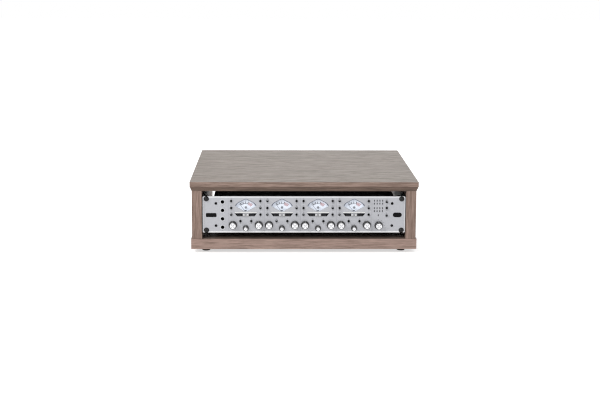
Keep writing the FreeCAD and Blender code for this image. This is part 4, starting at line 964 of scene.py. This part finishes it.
def meter_screws():
    """A lug at the foot of each window and a slotted zero screw above it."""
    lens_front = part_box("meter_lenses")[0].y
    lugs, screws, cutter = bmesh.new(), bmesh.new(), bmesh.new()
    edge, slot = ZERO_SCREW_R, ZERO_SCREW_R * 0.85
    for x in CHANNEL_X:
        add_box(lugs, (x - LUG_HALF_WIDTH, lens_front - 0.35 * MM, LUG_LOW),
                (x + LUG_HALF_WIDTH, lens_front + 0.3 * MM, LUG_HIGH), 0.25 * MM)
        add_lathe(screws, [(0, -0.5 * MM), (edge - 0.5 * MM, -0.5 * MM), (edge, -0.2 * MM),
                           (edge, 0.8 * MM), (0, 0.8 * MM)],
                  Vector((x, lens_front, ZERO_SCREW_Z)), 28)
        add_prism(cutter, rectangle(x - slot, x + slot,
                                    ZERO_SCREW_Z - 0.3 * MM, ZERO_SCREW_Z + 0.3 * MM),
                  lens_front - 1 * MM, lens_front - 0.15 * MM)
    lug = piece("meter_lugs", lugs, "black_plastic")
    knob = piece("meter_zero_screws", screws, "zero_screw_grey")
    carve(knob, cutter)


# ---- label plates
STRIP_HEIGHT = 3.0 * MM
NUMBER_PLATE_WIDTHS = (12.0 * MM, 16.0 * MM)
PLATE_RISE = 0.8 * MM
DASH_HALF = 1.2 * MM


def label_kind(low, high):
    """0 for a wing or a blank plate, 1 for a number plate, 2 for a bright strip."""
    if high.z - low.z < STRIP_HEIGHT:
        return 2
    return 1 if NUMBER_PLATE_WIDTHS[0] < high.x - low.x < NUMBER_PLATE_WIDTHS[1] else 0


def label_pieces():
    """Black wings and blank plates, bright number plates and strips."""
    plates = [(low, high, label_kind(low, high)) for low, high in islands("label_plates")]

    def rule(polygon):
        for low, high, kind in plates:
            if kind and all(a - 1e-5 <= c <= b + 1e-5 for a, c, b in zip(low, polygon.center, high)):
                return kind
        return 0
    dress("label_plates", "plate_black", rule, ("number_plate", "bright_strip"))
    figures, lamps, dashes = bmesh.new(), bmesh.new(), bmesh.new()
    lamp = around(0, 0, (0, -0.9), (1.0, -0.82), (1.8, -0.5), (2.3, 0), (0, 0))
    numbers = [(low, high) for low, high, kind in plates if kind == 1]
    for number, (low, high) in enumerate(numbers, 1):
        x, z = middle(low, high)
        add_text(figures, str(number), x, z, 3.6 * MM, low.y - INK_LIFT / 2)
        for side in (-1, 1):
            add_lathe(lamps, lamp, Vector((x + side * 4.4 * MM, low.y, z)), 24)
            for k in range(3):
                dash_x = x + side * (11.6 + 3.3 * k) * MM
                add_prism(dashes, rectangle(dash_x - DASH_HALF, dash_x + DASH_HALF,
                                            z - 0.2 * MM, z + 0.8 * MM),
                          PANEL_Y - PLATE_RISE - INK_LIFT, PANEL_Y - PLATE_RISE)
    for bm, name, mat, slot in ((figures, "channel_numbers", "ink_black", "needle_black"),
                                (lamps, "channel_lamps", "lamp_clear", "lamp_grey"),
                                (dashes, "wing_dashes", "ink_grey", "black_plate")):
        made = piece(name, bm, mat, smooth=name == "channel_lamps")


# ---- panel printing
# The lines between the channels, as millimetres from the panel's middle.
SEPARATORS = (-180.7, -95.0, -8.8, 77.0, 161.7)
SEPARATOR_REACH = 40.0 * MM
LINE_HALF = 0.2 * MM
BAR_HALF = 1.5 * MM
BAR_OFFSET = 5.9 * MM


def panel_print(knobs, toggles):
    """Separator lines, knob scales with plain figures and small position marks."""
    lines, dark, soft = bmesh.new(), bmesh.new(), bmesh.new()
    y = PANEL_Y
    for x_mm in SEPARATORS:
        x = x_mm * MM
        add_prism(lines, rectangle(x - LINE_HALF, x + LINE_HALF,
                                   PANEL_Z - SEPARATOR_REACH, PANEL_Z + SEPARATOR_REACH),
                  y - INK_LIFT, y)
    for name, (centre, skirt) in knobs.items():
        selector = name == "selector_knob"
        steps = range(-60, 91, 30) if selector else range(-150, 151, 30)
        for index, step in enumerate(steps):
            add_tick(soft, centre, skirt + 0.8 * MM, skirt + 2.0 * MM, step, 0.3 * MM, y)
            if selector:
                tx, tz = polar(centre, skirt + 3.9 * MM, step)
                add_text(dark, str(index + 1), tx, tz, 1.9 * MM, y - INK_LIFT / 2)
            elif index in (0, 10):
                tx, tz = polar(centre, skirt + 3.0 * MM, step)
                add_text(soft, str(index), tx, tz, 1.3 * MM, y - INK_LIFT / 2)
    for x, z in toggles:
        for bar_z in (z - BAR_OFFSET, z + BAR_OFFSET):
            add_prism(soft, rectangle(x - BAR_HALF, x + BAR_HALF, bar_z - LINE_HALF, bar_z + LINE_HALF),
                      y - INK_LIFT, y)
    for number, (low, high) in enumerate(sorted(islands("instrument_jacks"), key=lambda s: -s[0].z), 1):
        x, z = middle(low, high)
        add_text(dark, str(number), x, z - 9.2 * MM, 2.0 * MM, y - INK_LIFT / 2)
    for bm, name, mat in ((lines, "panel_lines", "ink_line"), (dark, "panel_figures", "ink_black"),
                          (soft, "panel_marks", "ink_grey")):
        made = piece(name, bm, mat, smooth=False)


# ---- rear panel
CONTACT_PITCH = 2.76 * MM
CONTACT_ROWS = ((1.42, 13), (-1.42, 12))
XLR_FACE_R = 8.8 * MM
INLET_RIM = 14.0 * MM
INLET_HALF_HEIGHT = 4.5 * MM
INLET_DEPTHS = (2.0 * MM, 16.0 * MM)
SHELL_HALF_WIDTHS = (19.2 * MM, 17.9 * MM)
SHELL_HALF_HEIGHT = 3.5 * MM


def dress_rear(xlr, dsub, inlet):
    """Zinc for line connectors, sockets' frames and the inlet's blades, plastic elsewhere."""
    def inside_inlet(c):
        return (INLET_DEPTHS[0] < REAR_WALL - c.y < INLET_DEPTHS[1]
                and inlet[0].x + INLET_RIM < c.x < inlet[1].x - INLET_RIM
                and abs(c.z - PANEL_Z) < INLET_HALF_HEIGHT)

    def rule(polygon):
        c = polygon.center
        if any(low.x <= c.x <= high.x for low, high in dsub):
            return 1
        for low, high in xlr:
            if low.x <= c.x <= high.x:
                x, z = middle(low, high)
                return 0 if math.hypot(c.x - x, c.z - z) < XLR_FACE_R else 1
        return 1 if abs(polygon.normal.x) > 0.5 and inside_inlet(c) else 0
    dress("rear_connectors", "black_plastic", rule, ("zinc_plate",))


def rear_pieces():
    """Face plates, contacts and screws of the connectors at the rear."""
    spots = islands("rear_connectors")
    # Sockets are 24 to 30 mm wide and over 30 mm high, line connectors over 52 mm wide.
    xlr = [s for s in spots if 24 * MM < s[1].x - s[0].x < 30 * MM and s[1].z - s[0].z > 30 * MM]
    dsub = [s for s in spots if s[1].x - s[0].x > 52 * MM]
    inlet = max(spots, key=lambda s: s[0].x)
    dress_rear(xlr, dsub, inlet)
    faces, pins, screws = bmesh.new(), bmesh.new(), bmesh.new()
    contact = [(0, 0), (0.5 * MM, 0), (0.5 * MM, 2 * INK_LIFT), (0, 2 * INK_LIFT)]
    post = around(0, 0, (0, 0), (2.4, 0), (2.4, 4.6), (1.4, 4.9), (1.4, 2), (0, 2))
    socket_screw = around(0, 0, (0, 1.9), (1.4, 1.9), (2.6, 0.4), (2.6, 0), (0, 0))
    inlet_screw = around(0, 0, (0, 1.2), (2.2, 1.2), (2.9, 0.5), (2.9, 0), (0, 0))
    for low, high in dsub:
        x, _ = middle(low, high)
        y = high.y
        wide, narrow = SHELL_HALF_WIDTHS
        top, foot = PANEL_Z + SHELL_HALF_HEIGHT, PANEL_Z - SHELL_HALF_HEIGHT
        add_prism(faces, [(x - wide, top), (x + wide, top), (x + narrow, foot), (x - narrow, foot)],
                  y - 0.5 * MM, y + INK_LIFT)
        for row, count in CONTACT_ROWS:
            for k in range(count):
                px = x + (k - (count - 1) / 2) * CONTACT_PITCH
                add_lathe(pins, contact, Vector((px, y, PANEL_Z + row * MM)), 10)
        for side in (-1, 1):
            add_lathe(screws, post, Vector((x + side * 23.5 * MM, REAR_WALL + 1.0 * MM, PANEL_Z)), 6)
    for low, high in xlr:
        x, z = middle(low, high)
        for side in (-1, 1):
            spot = Vector((x + side * 9.6 * MM, REAR_WALL + 1.8 * MM, z - side * 12.2 * MM))
            add_lathe(screws, socket_screw, spot, 20)
    x, z = middle(*inlet)
    for side in (-1, 1):
        add_lathe(screws, inlet_screw, Vector((x + side * 20 * MM, REAR_WALL + 2.5 * MM, z)), 20)
    for bm, name, mat, slot in ((faces, "line_connector_faces", "black_plastic", "black_plastic"),
                                (pins, "line_connector_holes", "plate_black", "black_plate"),
                                (screws, "rear_screws", "zinc_plate", "zinc")):
        made = piece(name, bm, mat, smooth=name != "line_connector_faces")


# ---- studio and camera
def sees_background(tree):
    """Output that is 1 for camera, glossy and transmission rays, and 0 for others."""
    path = tree.nodes.new("ShaderNodeLightPath")
    total = path.outputs["Is Camera Ray"]
    for kind in ("Is Glossy Ray", "Is Transmission Ray"):
        either = tree.nodes.new("ShaderNodeMath")
        either.operation = "MAXIMUM"
        tree.links.new(total, either.inputs[0])
        tree.links.new(path.outputs[kind], either.inputs[1])
        total = either.outputs[0]
    return total


WORLD_LIGHT = 0.50
WORLD_SEEN = 1.0
FLOOR_HALF = 12.0
FLOOR_GLOW = 0.60
FLOOR_BOUNCE = (0.42, 0.42, 0.42, 1)
# Name, place, watts, size and aim.
LIGHTS = (
    ("key", (-2.3, -2.2, 2.4), 84.0, 2.0, (0, 0, 0.08)),
    ("fill", (2.2, -2.2, 1.4), 8.0, 2.0, (0, 0, 0.08)),
    ("back", (0.3, 1.7, 1.2), 11.0, 1.6, (0, 0.1, 0.1)),
)


def world():
    """White where the camera sees it, and a softer light for everything else."""
    made = bpy.data.worlds.new("studio")
    bpy.context.scene.world = made
    made.use_nodes = True
    tree = made.node_tree
    background = tree.nodes["Background"]
    level = tree.nodes.new("ShaderNodeMapRange")
    level.inputs["To Min"].default_value = WORLD_LIGHT
    level.inputs["To Max"].default_value = WORLD_SEEN
    tree.links.new(sees_background(tree), level.inputs["Value"])
    tree.links.new(level.outputs["Result"], background.inputs["Strength"])
    background.inputs["Color"].default_value = (1, 1, 1, 1)


def floor_material():
    """White with a glow where the camera sees it, plain grey for bounced light."""
    shader = Shader("floor_white", (0.9, 0.9, 0.9, 1), 1.0, Specular_IOR_Level=0.0)
    bounce = shader.node("BsdfDiffuse", Color=FLOOR_BOUNCE)
    glow = shader.node("Emission", Strength=FLOOR_GLOW)
    both = shader.node("AddShader")
    dim = shader.node("MixShader")
    shader.feed(both, 0, (shader.bsdf, 0))
    shader.feed(both, 1, (glow, 0))
    shader.tree.links.new(sees_background(shader.tree), dim.inputs[0])
    shader.feed(dim, 1, (bounce, 0))
    shader.feed(dim, 2, (both, 0))
    shader.feed(shader.tree.nodes["Material Output"], "Surface", (dim, 0))


def studio():
    """World, floor and three area lights."""
    world()
    mesh = bpy.data.meshes.new("floor")
    outline = rectangle(-FLOOR_HALF, FLOOR_HALF, -FLOOR_HALF, FLOOR_HALF)
    mesh.from_pydata([(x, y, 0) for x, y in outline], [], [(0, 1, 2, 3)])
    floor_material()
    mesh.materials.append(MATS["floor_white"])
    floor = add_object("floor", mesh)
    for name, place, power, size, aim in LIGHTS:
        light = bpy.data.lights.new(name, "AREA")
        light.energy = power
        light.size = size
        lamp = add_object(name, light)
        lamp.location = place
        lamp.rotation_euler = (Vector(aim) - Vector(place)).to_track_quat("-Z", "Y").to_euler()


CAMERA_PLACE = Vector((-0.0708, -2.8551, 0.6730))
CAMERA_PITCH = math.radians(9.272)
CAMERA_YAW = math.radians(1.312)
CAMERA_ROLL = math.radians(0.290)


def camera():
    """Stands about three metres away, a little left and above the object."""
    level = math.cos(CAMERA_PITCH)
    forward = Vector((math.sin(CAMERA_YAW) * level, math.cos(CAMERA_YAW) * level,
                      -math.sin(CAMERA_PITCH)))
    right = Vector((math.cos(CAMERA_YAW), -math.sin(CAMERA_YAW), 0))
    up = right.cross(forward)
    turned_right = right * math.cos(CAMERA_ROLL) + up * math.sin(CAMERA_ROLL)
    turned_up = up * math.cos(CAMERA_ROLL) - right * math.sin(CAMERA_ROLL)
    data = bpy.data.cameras.new("camera")
    data.lens = 67.727
    data.sensor_width = 36.0
    data.shift_y = -0.08
    data.clip_end = 50.0
    obj = add_object("camera", data)
    axes = Matrix((turned_right, turned_up, -forward)).transposed().to_4x4()
    obj.matrix_world = Matrix.Translation(CAMERA_PLACE) @ axes
    bpy.context.scene.camera = obj


# ---- main
dress_plain()
dress_boards()
dress_front()
dress_inside()
dress_needles()
KNOBS = {name: knob_pieces(name) for name in JOINTS if "knob" in name}
TOGGLES = toggle_pieces()
rack_screw_pieces()
meter_bezels()
meter_print()
meter_screws()
label_pieces()
panel_print(KNOBS, TOGGLES)
rear_pieces()
studio()
camera()
bpy.context.scene.view_settings.view_transform = "Standard"
bpy.context.scene.cycles.filter_width = 1.2
